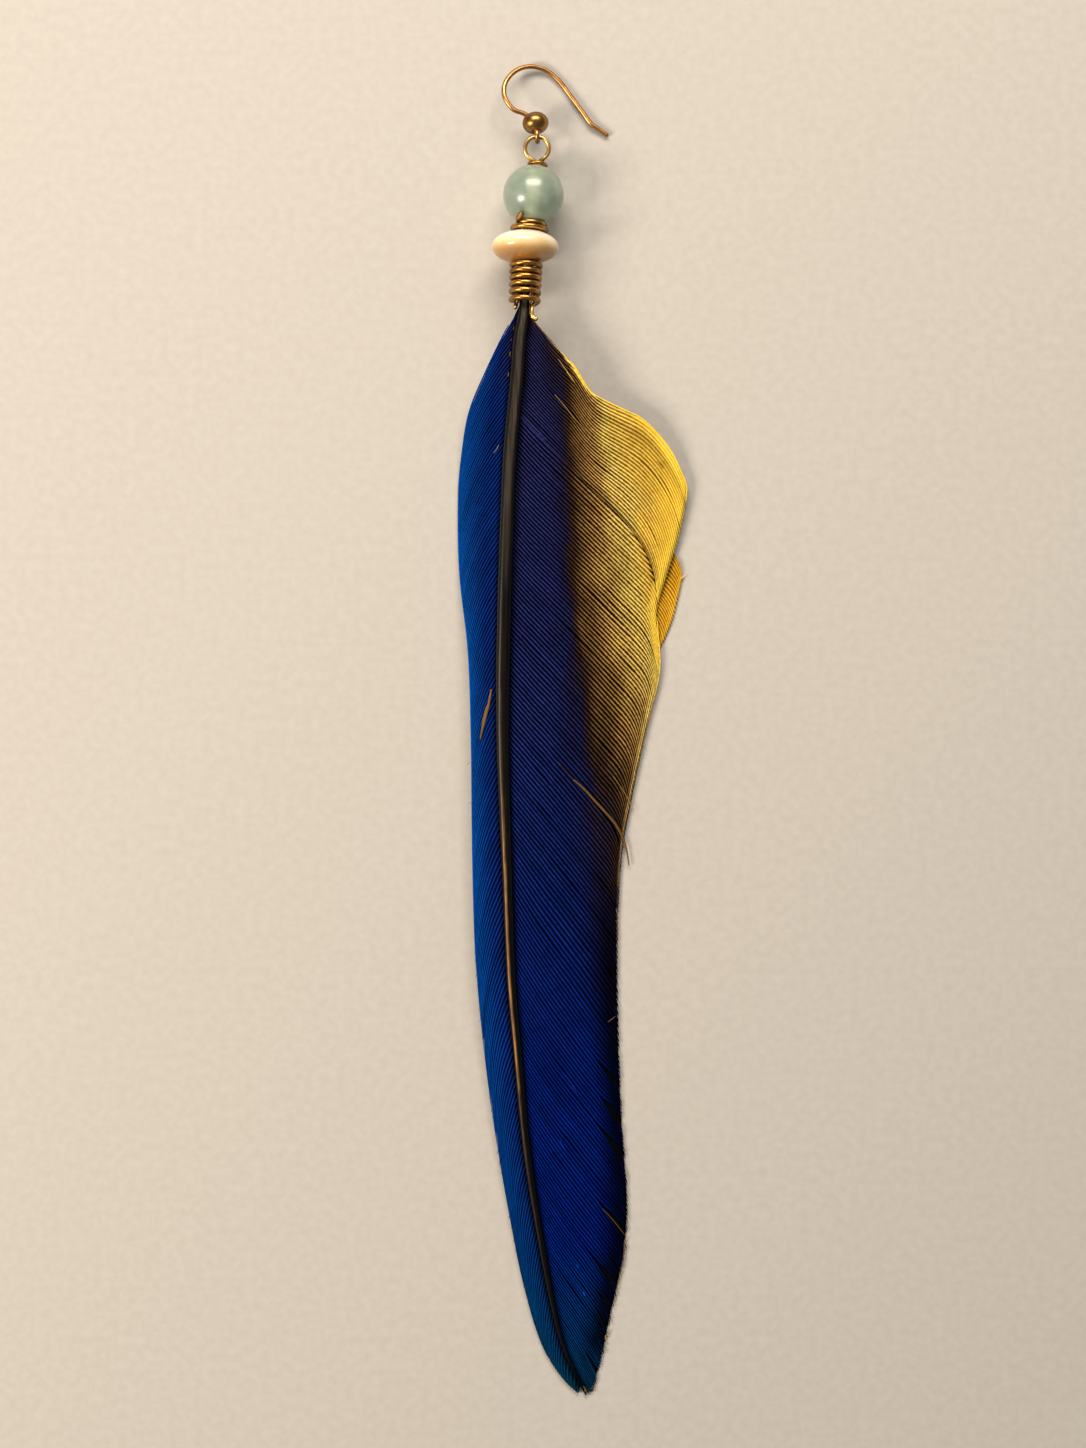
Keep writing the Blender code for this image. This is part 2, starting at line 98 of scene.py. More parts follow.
# Rounds a list of points off into a smooth path.
def smoothPath(points, steps):
    points = [Vector(point) for point in points]
    last = len(points) - 1
    path = []
    for index in range(last):
        before, first = points[max(index - 1, 0)], points[index]
        second, after = points[index + 1], points[min(index + 2, last)]
        for step in range(steps):
            t = step / steps
            path.append(0.5 * (
                2 * first
                + (second - before) * t
                + (2 * before - 5 * first + 4 * second - after) * t**2
                + (3 * first - before - 3 * second + after) * t**3
            ))
    path.append(points[last])
    return path


def linear(hexColour):
    channels = [int(hexColour[i:i + 2], 16) / 255 for i in (1, 3, 5)]
    return tuple(c / 12.92 if c <= 0.04045 else ((c + 0.055) / 1.055) ** 2.4 for c in channels) + (1.0,)


# Adds a node, sets it up, links what feeds it and returns one of its outputs.
# Stops are a colour ramp's.
def addNode(material, kind, sockets=None, stops=None, output=0, **settings):
    tree = material.node_tree
    node = tree.nodes.new("ShaderNode" + kind)
    for key, value in settings.items():
        setattr(node, key, value)
    if stops:
        elements = node.color_ramp.elements
        while len(elements) < len(stops):
            elements.new(0.5)
        for element, (position, colour) in zip(elements, stops):
            element.position = position
            element.color = linear(colour)
    for key, value in (sockets or {}).items():
        if isinstance(value, bpy.types.NodeSocket):
            tree.links.new(value, node.inputs[key])
        else:
            node.inputs[key].default_value = value
    return node.outputs[output]


def newMaterial(name, roughness, **sockets):
    material = bpy.data.materials.new(name)
    material.use_nodes = True
    shader = material.node_tree.nodes["Principled BSDF"]
    shader.inputs["Roughness"].default_value = roughness
    for key, value in sockets.items():
        shader.inputs[key.replace("_", " ")].default_value = value
    return material, shader


def feed(shader, socket, output):
    shader.id_data.links.new(output, shader.inputs[socket])


# What the keratin material reads at each point: how near the barb's crest, how
# far down the feather, how yellow, how azure, how bright, and mm along the barb.
# How bright, the shade, also carries painted shade by the shaft and on the vanes.
lookNames = ("ridge", "down", "warm", "azure", "shade", "along")
firstRow, rowSpan = 304, 1092   # the vanes begin at this row, and their tip is so many rows lower


def noLooks():
    return {name: [] for name in lookNames}


def addLook(looks, *values):
    for name, value in zip(lookNames, values):
        looks[name].append(value)


def downAt(y):
    return clamp((rowOf(y) - firstRow) / rowSpan)


# Macaw feather keratin, as grown: structural blue over melanin in the blue
# part, parrot yellow in the shoulder. The barbs have a satin gloss. The gap
# colours between the barbs are darker, partly painted shade, and the crest
# colours are lighter, partly painted highlight.
keratinLooks = {
    "coolRidge": [(0.0, "#302d56"), (0.12, "#2e3266"), (0.36, "#293572"), (0.55, "#142f7c"),
                  (0.7, "#052a8a"), (0.86, "#02288c"), (0.96, "#033f77"), (1.0, "#063956")],
    "coolGap": [(0.0, "#040318"), (0.36, "#030424"), (0.6, "#010634"), (0.86, "#000438"), (1.0, "#001428")],
    "navyRidge": [(0.0, "#141d5a"), (0.08, "#00246c"), (0.2, "#002974"), (0.5, "#002672"),
                  (0.75, "#00338c"), (0.94, "#003870"), (1.0, "#04324a")],
    "navyGap": [(0.0, "#050a2c"), (0.1, "#000e3c"), (0.2, "#001044"), (0.6, "#000f42"), (0.86, "#001448"),
                (1.0, "#001c30")],
    "azureRidge": [(0.0, "#082878"), (0.12, "#004494"), (0.2, "#004a9c"), (0.5, "#004698"),
                   (0.8, "#004494"), (0.94, "#004478"), (1.0, "#053a50")],
    "azureGap": [(0.0, "#040e3c"), (0.15, "#002c70"), (0.5, "#002a6c"), (0.85, "#002868"), (1.0, "#00283c")],
    "warmRidge": [(0.0, "#1b1838"), (0.12, "#2c2028"), (0.2, "#4c3728"), (0.3, "#9a7440"), (0.41, "#c89c56"),
                  (0.55, "#e8c264"), (0.7, "#ffe272"), (0.84, "#fddc5e"), (0.92, "#fddb4e"), (1.0,
                                                                                              "#e8ae24")],
    "warmGap": [(0.0, "#04031a"), (0.12, "#07040a"), (0.2, "#0c0606"), (0.3, "#1a0c06"), (0.41, "#261103"),
                (0.55, "#2a1202"), (0.7, "#552c03"), (0.84, "#a4691b"), (0.92, "#e4ae36"), (1.0, "#8e560c")],
    "barbuleSpacing": 0.12,   # real ones are 0.03 mm apart, too fine to show
}


def makeKeratin():
    material, shader = newMaterial("macaw_keratin_blue_and_yellow", 0.46, IOR=1.54, Specular_IOR_Level=0.02)
    ridge, down, warm, azure, shade, along = [
        addNode(material, "Attribute", output="Fac", attribute_name=name) for name in lookNames]
    place = addNode(material, "TexCoord", output="Object")
    grain = addNode(material, "TexNoise", {"Vector": place, "Scale": 2600.0, "Detail": 2.0})
    blotch = addNode(material, "TexNoise", {"Vector": place, "Scale": 260.0, "Detail": 3.0})
    uneven = addNode(material, "Math", {0: grain, 1: 0.5}, operation="SUBTRACT")
    uneven = addNode(material, "Math", {0: uneven, 1: 0.55, 2: ridge}, operation="MULTIPLY_ADD")
    # edge picks the crest colour or the gap colour: lighter crests as painted highlight, darker gaps as painted shade
    edge = addNode(material, "MapRange", {"Value": uneven, "From Min": 0.46, "From Max": 0.95})
    colours = {}
    for key, stops in keratinLooks.items():
        if key.endswith("Ridge") or key.endswith("Gap"):
            source = warm if key.startswith("warm") else down
            colours[key] = addNode(material, "ValToRGB", {"Fac": source}, stops=stops)
    isWarm = addNode(material, "MapRange", {"Value": warm, "From Min": 0.0, "From Max": 0.18})
    isNavy = addNode(material, "MapRange", {"Value": azure, "From Min": 0.0, "From Max": 0.5})
    isAzure = addNode(material, "MapRange", {"Value": azure, "From Min": 0.5, "From Max": 1.0})
    tones = []
    for end in ("Gap", "Ridge"):
        tone = colours["cool" + end]
        for part, amount in (("navy", isNavy), ("azure", isAzure), ("warm", isWarm)):
            tone = addNode(material, "MixRGB", {"Fac": amount, "Color1": tone, "Color2": colours[part + end]})
        tones.append(tone)
    striped = addNode(material, "MixRGB", {
        "Fac": edge, "Color1": tones[0], "Color2": tones[1]})
    mottle = addNode(material, "MapRange", {
        "Value": blotch, "From Min": 0.3, "From Max": 0.7, "To Min": 0.86, "To Max": 1.1})
    # random mottle times shade, which holds painted shade
    mottleAndShade = addNode(material, "Math", {0: mottle, 1: shade}, operation="MULTIPLY")
    base = addNode(material, "VectorMath", {0: striped, "Scale": mottleAndShade},
                   operation="SCALE")
    feed(shader, "Base Color", base)
    turns = addNode(material, "Math", {0: along, 1: math.tau / keratinLooks["barbuleSpacing"]},
                    operation="MULTIPLY")
    slant = addNode(material, "Math", {0: ridge, 1: 5.0, 2: turns}, operation="MULTIPLY_ADD")
    barbules = addNode(material, "Math", {0: slant}, operation="SINE")
    height = addNode(material, "Math", {0: barbules, 1: 0.25, 2: grain},
                     operation="MULTIPLY_ADD")
    bump = addNode(material, "Bump", {"Height": height, "Strength": 0.22, "Distance": 0.00004})
    feed(shader, "Normal", bump)
    gloss = addNode(material, "MapRange", {
        "Value": edge, "To Min": 0.62, "To Max": 0.4})
    feed(shader, "Roughness", gloss)
    return material


keratin = makeKeratin()


# A matt sheet under the barbs: near black on top, painted shade that shows
# through the gaps between the barbs, and below it has the golden tone of a
# macaw's underwing.
def makeWeb(name, dark, pale):
    material, shader = newMaterial(name, 0.75, Specular_IOR_Level=0.05)
    place = addNode(material, "TexCoord", output="Object")
    mapped = addNode(material, "Mapping", {"Vector": place, "Rotation": (0.0, 0.0, 0.8),
                                                     "Scale": (3000.0, 500.0, 500.0)})
    fibres = addNode(material, "TexNoise", {"Vector": mapped, "Scale": 1.0, "Detail": 3.0})
    ramp = addNode(material, "ValToRGB", {"Fac": fibres},
                   stops=[(0.3, dark), (0.72, pale)])
    feed(shader, "Base Color", ramp)
    bump = addNode(material, "Bump", {"Height": fibres, "Strength": 0.4,
                                                "Distance": 0.00005})
    feed(shader, "Normal", bump)
    return material


shadeSheetTop = makeWeb("painted_shade_sheet_dark", "#010102", "#070509")
webUnder = makeWeb("barbule_web_golden_underside", "#5c4413", "#a07a24")


# Feather shaft horn, dark with melanin, lighter along the crown as painted
# highlight, and golden on the upper left side, partly its own brown and partly
# painted highlight.
def makeHorn():
    material, shader = newMaterial("shaft_horn_with_painted_highlights", 0.36, Specular_IOR_Level=0.2)
    crownHighlight = addNode(material, "Attribute", output="Fac", attribute_name="crownHighlight")
    golden = addNode(material, "Attribute", output="Fac", attribute_name="golden")
    place = addNode(material, "TexCoord", output="Object")
    mapped = addNode(material, "Mapping", {"Vector": place, "Scale": (4200.0, 160.0, 4200.0)})
    fibres = addNode(material, "TexNoise", {"Vector": mapped, "Scale": 1.0, "Detail": 4.0})
    shift = addNode(material, "Math", {0: fibres, 1: 0.5}, operation="SUBTRACT")
    pale = addNode(material, "Math", {0: shift, 1: 0.9, 2: crownHighlight}, operation="MULTIPLY_ADD")
    body = addNode(material, "ValToRGB", {"Fac": pale}, stops=[
        (0.12, "#020101"), (0.45, "#0f0b08"), (0.75, "#2a231c"), (1.0, "#3f372e")])
    rim = addNode(material, "ValToRGB", {"Fac": fibres}, stops=[
        (0.35, "#7a4e24"), (0.65, "#c8914c")])
    base = addNode(material, "MixRGB", {"Fac": golden, "Color1": body,
                                                  "Color2": rim})
    feed(shader, "Base Color", base)
    bump = addNode(material, "Bump", {"Height": fibres, "Strength": 0.25,
                                                "Distance": 0.00004})
    feed(shader, "Normal", bump)
    return material


horn = makeHorn()


# Brass or bronze wire, drawn and antiqued: warm metal with patches of patina,
# painted lighter on top and painted shade down the sides, with fine draw lines.
def makeMetal(name, bright, dark, roughness, patina):
    material, shader = newMaterial(name, roughness, Metallic=1.0)
    place = addNode(material, "TexCoord", output="Object")
    stain = addNode(material, "TexNoise", {"Vector": place, "Scale": 420.0, "Detail": 3.0,
                                                     "Roughness": 0.55})
    scratches = addNode(material, "TexNoise", {"Vector": place, "Scale": 7000.0, "Detail": 2.0})
    ramp = addNode(material, "ValToRGB", {"Fac": stain},
                   stops=[(patina - 0.14, dark), (patina + 0.1, bright)])
    normal = addNode(material, "TexCoord", output="Normal")
    upward = addNode(material, "SeparateXYZ", {"Vector": normal}, output="Z")
    topLitSidesShaded = addNode(material, "MapRange", {
        "Value": upward, "From Min": -0.05, "From Max": 0.6, "To Min": 0.0, "To Max": 1.0})
    # the dark brown down the sides, by the surface's facing, is painted shade
    base = addNode(material, "MixRGB", {"Fac": topLitSidesShaded, "Color1": linear("#3a220c"),
                                                  "Color2": ramp})
    feed(shader, "Base Color", base)
    worn = addNode(material, "MapRange", {
        "Value": stain, "From Min": patina - 0.14, "From Max": patina + 0.1,
        "To Min": roughness + 0.12, "To Max": roughness})
    feed(shader, "Roughness", worn)
    bump = addNode(material, "Bump", {"Height": scratches, "Strength": 0.012,
                                                "Distance": 0.00001})
    feed(shader, "Normal", bump)
    return material


craftBrass = makeMetal("antiqued_drawn_brass", "#bd8a44", "#7d5220", 0.29, 0.42)
eyeBrass = makeMetal("bright_drawn_brass", "#dcb06a", "#a67a3e", 0.33, 0.36)
hookBronze = makeMetal("drawn_bronze_hook_wire", "#c48e54", "#966232", 0.33, 0.38)
ballBrass = makeMetal("dark_antiqued_brass_ball", "#b48a50", "#7e5828", 0.27, 0.42)


# Green aventurine, tumbled and polished: cloudy pale sea green stone that
# lets light in, with fine lighter flecks and a glassy surface.
def makeAventurine():
    material, shader = newMaterial("polished_green_aventurine", 0.36, IOR=1.54, Transmission_Weight=0.62,
                                   Coat_Weight=0.7, Coat_Roughness=0.2)
    place = addNode(material, "TexCoord", output="Object")
    cloud = addNode(material, "TexNoise", {"Vector": place, "Scale": 420.0, "Detail": 5.0,
                                                     "Distortion": 0.8})
    flecks = addNode(material, "TexVoronoi", {"Vector": place, "Scale": 2300.0})
    ramp = addNode(material, "ValToRGB", {"Fac": cloud}, stops=[
        (0.25, "#a2b9a4"), (0.55, "#b9ccb7"), (0.8, "#cfdcca")])
    fleck = addNode(material, "MapRange", {
        "Value": flecks, "From Min": 0.0, "From Max": 0.16, "To Min": 0.35, "To Max": 0.0})
    base = addNode(material, "MixRGB", {"Fac": fleck, "Color1": ramp,
                                                  "Color2": linear("#dfe6cf")})
    feed(shader, "Base Color", base)
    return material


# The wall of the hole, left frosted and pale by the drill, which shows
# through the stone as a pale band.
def makeDrilledStone():
    material, shader = newMaterial("drill_frosted_aventurine", 0.85)
    place = addNode(material, "TexCoord", output="Object")
    chatter = addNode(material, "TexNoise", {"Vector": place, "Scale": 1500.0, "Detail": 3.0})
    ramp = addNode(material, "ValToRGB", {"Fac": chatter}, stops=[
        (0.3, "#e6d8b8"), (0.7, "#fff0d8")])
    feed(shader, "Base Color", ramp)
    return material


aventurine = makeAventurine()
drilledStone = makeDrilledStone()


# Bone, sawn, drilled and polished: warm ivory with random stains, browner
# towards the end by the wrap as painted shade, with the fine short dashes of its canals.
def makeBone():
    material, shader = newMaterial("polished_stained_bone", 0.25, Coat_Weight=0.4, Coat_Roughness=0.14,
                                   Subsurface_Weight=0.12, Subsurface_Scale=0.001)
    place = addNode(material, "TexCoord", output="Object")
    mapped = addNode(material, "Mapping", {"Vector": place, "Scale": (700.0, 5200.0, 5200.0)})
    canals = addNode(material, "TexNoise", {"Vector": mapped, "Scale": 1.0, "Detail": 3.0})
    stain = addNode(material, "TexNoise", {"Vector": place, "Scale": 230.0, "Detail": 3.0})
    low = addNode(material, "Attribute", output="Fac", attribute_name="low")
    amount = addNode(material, "Math", {0: stain, 1: 0.3, 2: low}, operation="MULTIPLY_ADD")
    ivory = addNode(material, "ValToRGB", {"Fac": amount}, stops=[
        (0.3, "#faf2e2"), (0.6, "#f0d9ae"), (0.8, "#d8ac6c"), (1.0, "#b07a3e")])
    dash = addNode(material, "MapRange", {
        "Value": canals, "From Min": 0.62, "From Max": 0.74, "To Min": 0.0, "To Max": 0.3})
    base = addNode(material, "MixRGB", {"Fac": dash, "Color1": ivory,
                                                  "Color2": linear("#8d5f30")})
    feed(shader, "Base Color", base)
    bump = addNode(material, "Bump", {"Height": canals, "Strength": 0.08,
                                                "Distance": 0.00003})
    feed(shader, "Normal", bump)
    return material


bone = makeBone()
print("materials made")


def makePiece(name, points, faces, materials, looks=None, faceMaterials=None):
    mesh = bpy.data.meshes.new(name)
    mesh.from_pydata([Vector(point) * metresPerMm for point in points], [], faces)
    for key, values in (looks or {}).items():
        attribute = mesh.attributes.new(key, "FLOAT", "POINT")
        attribute.data.foreach_set("value", values)
    for material in materials:
        mesh.materials.append(material)
    if faceMaterials:
        mesh.polygons.foreach_set("material_index", faceMaterials)
    mesh.shade_smooth()
    piece = bpy.data.objects.new(name, mesh)
    scene.collection.objects.link(piece)
    return piece


def settle(piece, body, node):
    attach(piece, body)
    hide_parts(node)


# A round rod along a path: rings of points that turn as little as they can,
# with both ends rounded off. Returns points and faces to join to others.
def rodMesh(path, radii, sides, flatten=1.0, firstIndex=0):
    count = len(path)
    points, faces = [], []
    tangent = (path[1] - path[0]).normalized()
    normal = tangent.orthogonal().normalized()
    rings = []
    for index in range(count):
        following = path[min(index + 1, count - 1)] - path[max(index - 1, 0)]
        turned = following.normalized()
        normal = (normal - turned * normal.dot(turned)).normalized()
        rings.append((path[index], turned, normal, radii[index]))
    first, last = rings[0], rings[-1]
    start = [(first[0] - first[1] * first[3] * a, *first[1:3], first[3] * b) for a, b in ((0.55, 0.45),
                                                                                          (0.35, 0.8))]
    end = [(last[0] + last[1] * last[3] * a, *last[1:3], last[3] * b) for a, b in ((0.35, 0.8), (0.55, 0.45))]
    rings = start + rings + end
    for centre, turned, normal, radius in rings:
        binormal = turned.cross(normal)
        for side in range(sides):
            angle = math.tau * side / sides
            points.append(centre + (normal * math.cos(angle) + binormal * math.sin(angle) * flatten) * radius)
    for ring in range(len(rings) - 1):
        for side in range(sides):
            a = firstIndex + ring * sides + side
            b = firstIndex + ring * sides + (side + 1) % sides
            faces.append((a, b, b + sides, a + sides))
    faces.append(tuple(firstIndex + side for side in reversed(range(sides))))
    faces.append(tuple(firstIndex + (len(rings) - 1) * sides + side for side in range(sides)))
    return points, faces


def makeWire(name, path, radius, sides, material):
    radii = [radius * (1 + 0.02 * noise.noise(point * 0.9)) for point in path]
    points, faces = rodMesh(path, radii, sides)
    return makePiece(name, points, faces, [material])


# A turned piece: a closed profile of (radius, height), spun about an axis.
# The faces from one profile point on may have a second material.
def makeTurned(name, profile, centre, axis, steps, materials, looks=None, secondFrom=None):
    turn = axis.to_track_quat("Z", "Y")
    points, faces, kinds = [], [], []
    count = len(profile)
    for step in range(steps):
        angle = math.tau * step / steps
        for radius, height in profile:
            spun = Vector((radius * math.cos(angle), radius * math.sin(angle), height))
            points.append(centre + turn @ spun)
    for step in range(steps):
        for index in range(count):
            a, b = step * count + index, step * count + (index + 1) % count
            c, d = (step + 1) % steps * count + (index + 1) % count, (step + 1) % steps * count + index
            faces.append((a, b, c, d))
            kinds.append(1 if secondFrom is not None and index >= secondFrom else 0)
    return makePiece(name, points, faces, materials, looks(points) if looks else None, kinds)


# The feather's form, in the same stations as its solid has.
# Along Y, across X, height Z, radius:
shaftStations = [
    (59.9, -6.2, 5.45, 0.6), (56.4, -6.32, 5.94, 0.64), (54.0, -6.5, 6.2, 0.78), (51.2, -6.95, 6.45, 0.85),
    (46.5, -7.28, 6.75, 0.92), (36.4, -8.2, 7.0, 0.92), (25.0, -8.7, 7.0, 0.92), (15.8, -8.98, 6.8, 0.92),
    (5.3, -9.18, 6.45, 0.9), (-3.9, -9.14, 6.1, 0.8), (-19.6, -8.6, 5.2, 0.66), (-32.7, -8.1, 4.3, 0.59),
    (-43.2, -7.2, 3.5, 0.56), (-55.0, -6.1, 2.55, 0.5), (-66.8, -4.3, 1.6, 0.42), (-77.3, -2.3, 0.9, 0.3),
    (-82.4, -0.8, 0.6, 0.24), (-87.9, 1.85, 0.32, 0.12),
]
# Along Y, across X, height Z:
leftEdge = [
    (55.2, -7.2, 6.0), (52.5, -8.8, 5.4), (47.3, -11.4, 3.9), (42.0, -13.65, 2.3), (36.8, -14.6, 1.0),
    (31.5, -15.1, 0.3), (21.0, -14.95, 0.75), (10.6, -13.8, 2.1), (0.0, -13.4, 2.6), (-17.0, -13.2, 2.4),
    (-30.4, -12.8, 2.0), (-40.6, -11.9, 1.5), (-52.4, -10.35, 0.9), (-64.5, -8.25, 0.5), (-73.4, -6.4, 0.35),
    (-81.2, -3.95, 0.25), (-85.6, -1.1, 0.22), (-87.5, 0.9, 0.22),
]
rightEdge = [
    (55.2, -6.0, 6.1), (53.8, -5.3, 6.0), (47.9, -0.15, 5.0), (44.5, 2.25, 4.2), (43.5, 3.8, 3.8), (42.0,
                                                                                                    7.0, 3.0),
    (41.2, 8.8, 2.6), (39.4, 10.9, 2.0), (36.8, 13.0, 1.4), (34.2, 14.3, 1.0), (31.9, 15.1, 0.8), (26.3,
                                                                                                   14.2, 0.6),
    (21.0, 12.6, 0.48), (15.8, 11.15, 0.45), (7.9, 11.4, 0.45), (0.0, 9.55, 0.4), (-9.1, 7.6, 0.3),
    (-17.0, 6.3, 0.25), (-30.4, 5.85, 0.22), (-48.5, 6.35, 0.22), (-62.9, 7.2, 0.22), (-69.4, 6.7, 0.22),
    (-76.0, 5.25, 0.22), (-83.9, 3.5, 0.22), (-87.5, 2.4, 0.22),
]
camberPower = 1.4
rootDrop = 0.25


# Height of the vane's middle surface, and the share of the way to its edge.
def vaneSurface(edge, x, y):
    shaftX, shaftZ, radius = stationValues(shaftStations, y)
    edgeX, edgeZ = stationValues(edge, y)
    width = edgeX - shaftX
    share = clamp((x - shaftX) / width, 0.0, 1.04) if abs(width) > 0.05 else 1.0
    rootZ = shaftZ - rootDrop * radius
    return rootZ + (edgeZ - rootZ) * share**camberPower, share


# Where the colours lie. First the row in the photograph, and X where the blue
# ends and the dark brown begins.
blueEnds = [(300, -4.0), (330, -3.2), (370, -1.05), (400, -0.66), (500, -0.13), (600, 0.3), (700, 0.6),
            (800, 0.4), (860, 0.9), (930, 2.0), (990, 3.6), (1040, 6.0), (1100, 9.0), (1400, 9.0)]
# mm right of there, and how far along from black through tan to yellow
warmSteps = [(-3.4, 0.0), (-1.6, 0.08), (-0.2, 0.18), (1.2, 0.28), (4.0, 0.46), (6.6, 0.64), (9.5, 0.83),
             (12.5, 0.92), (30.0, 0.92)]
# row, and how much of that is left lower down
warmFade = [(300, 1.0), (560, 1.0), (640, 0.86), (700, 0.68), (740, 0.56), (780, 0.4), (850, 0.34),
            (900, 0.34), (950, 0.36), (1000, 0.34), (1100, 0.25)]
# row, and how far in from the right edge the dark band there reaches, in mm
duskReach = [(800, 5.2), (950, 5.2), (1000, 4.7), (1100, 3.9), (1150, 4.1), (1200, 4.9), (1250, 4.9),
             (1300, 4.4), (1400, 4.0)]
# row, width in mm of the smooth golden strip along the edge, and how yellow it is
goldStrip = [(300, 0.3, 0.2), (345, 0.32, 0.3), (362, 0.34, 0.8), (385, 0.4, 0.9), (400, 0.7, 0.92),
             (430, 1.5, 0.92), (470, 2.2, 0.92), (560, 2.4, 0.92), (640, 1.3, 0.9), (700, 0.75, 0.76),
             (778, 0.4, 0.58), (886, 0.22, 0.36), (900, 0.0, 0.3), (1400, 0.0, 0.3)]


# How warm, how azure, how bright and how smooth the barbs are at a place.
def rightLooks(x, y, edgeGap, rootGap):
    row = rowOf(y)
    uneven = 1.2 * noise.noise(Vector((x * 0.5, y * 0.22, 9.0)))
    warm = readRow(warmSteps, x - readRow(blueEnds, row)[0] + uneven)[0] * readRow(warmFade, row)[0]
    strip, yellowness = readRow(goldStrip, row)
    golden = 1 - ease(0.35 * strip, strip, edgeGap) if strip > 0.05 else 0.0
    # the shoulder's golden ochre band: it pushes the colour to ochre, and its darkening of the shade below is painted
    # shade of a shallow valley there
    ochreAndValleyShade = ease(370, 390, row) * (1 - ease(430, 500, row)) * ease(0.4, 0.6, warm)
    warm += (0.86 - warm) * 0.7 * ochreAndValleyShade
    if warm > 0.1 or row < 420:
        warm = max(warm, warm + (yellowness - warm) * golden)
    dusk = ease(800, 980, row) * (1 - ease(1340, 1380, row))
    dusk *= 1 - ease(0.8, readRow(duskReach, row)[0], edgeGap)
    # the dark band by the shaft, where rootGap is small, is painted shade where the barbs meet the shaft
    shade = (1 - 0.9 * dusk) * (1 - 0.22 * ochreAndValleyShade * (1 - golden)) * (0.1 + 0.9 * ease(0.1, 0.8, rootGap))
    return warm, 0.0, shade, golden


def leftLooks(x, y, edgeGap, rootGap):
    row = rowOf(y)
    share = rootGap / (rootGap + edgeGap)
    lower = ease(500, 1100, row)
    rim = ease(0.32 - 0.16 * lower, 1.0 - 0.1 * lower, share)
    start = 0.25 + 0.25 * ease(330, 420, row)
    # the dark band by the shaft, where rootGap is small, is painted shade where the barbs meet the shaft
    return 0.0, start + (1 - start) * rim, 0.1 + 0.9 * ease(0.15, 0.8, rootGap), 0.8 * ease(0.7, 1.0, share)


# Slopes are degrees below the horizontal, from the shaft outward, by the
# photograph's rows. The barbs of the yellow shoulder all run between two
# guide lines: the first barb, which is its outline, and the one at the slit.
# Real barbs are 0.29 to 0.35 mm apart, drawn coarser by coarseness to show.
firstBarb = [(520, 304), (533, 320), (548, 340), (562, 355), (575, 366), (590, 390), (602, 400), (620, 408),
             (640, 417),
             (656, 430), (672, 450), (682, 470), (687.5, 488)]
slitBarb = [(513, 412), (539, 438), (566, 465), (580, 480), (599, 497), (623, 520), (640, 541), (650, 560),
            (656, 582),
            (658.5, 604)]
shoulderGroup = {
    "side": 1, "edge": rightEdge, "looks": rightLooks, "segments": 34, "crest": 0.085, "depth": 0.1,
    "seed": 5,
    "rows": (304, 412), "raised": 0.17, "coarseness": 1.25, "splits": 6, "wave": 0.05, "taper": 0.1,
    "pitch": [(300, 3.1), (412, 3.1)], "ragged": [(300, 0.002), (420, 0.004)],
    "partings": [((674, 502), (680, 532), 0.1), ((665, 498), (684, 520), 0.2)],
}
innerGroup = {
    "side": 1, "edge": rightEdge, "looks": rightLooks, "segments": 30, "crest": 0.085, "depth": 0.1,
    "seed": 6,
    "rows": (405, 1392), "raised": 0.0, "coarseness": 1.36, "splits": 46, "wave": 0.07, "taper": 0.6,
    "rootSlope": [(400, 46), (700, 48), (840, 52), (900, 59), (1100, 58), (1300, 56), (1392, 60)],
    "openSlope": [(400, 44), (560, 43), (700, 47), (800, 50), (1000, 55), (1100, 52), (1300, 53), (1392, 60)],
    "rimSlope": [(400, 80), (860, 80), (940, 66), (1392, 68)],
    "rimWidth": [(400, 2.9), (600, 2.9), (700, 4.6), (800, 4.0), (900, 1.6), (1392, 1.2)],
    "pitch": [(400, 3.15), (560, 3.3), (620, 3.7), (760, 3.9), (900, 4.6), (1200, 4.5), (1392, 3.6)],
    "ragged": [(400, 0.004), (620, 0.006), (760, 0.012), (900, 0.02), (1340, 0.03), (1400, 0.03)],
    # partings: inner end and outer end as the photograph shows them, width in mm
    "partings": [((572, 771), (627, 862), 0.4), ((584, 900), (616, 946), 0.4), ((608, 899), (618, 915), 0.35),
                 ((599, 967), (616, 987), 0.35), ((607, 1033), (620, 1059), 0.9), ((594, 1056), (620, 1094),
                                                                                   1.5),
                 ((598, 1089), (620, 1123), 1.8), ((598, 1132), (624, 1163), 1.6), ((592, 1199), (628,
                                                                                                  1238), 1.6),
                 ((608, 1258), (620, 1275), 0.6), ((584, 1251), (617, 1292), 1.1), ((596, 1291), (611,
                                                                                                  1313), 1.1),
                 ((593, 1312), (609, 1331), 0.9), ((585, 1352), (597, 1374), 0.6)],
}
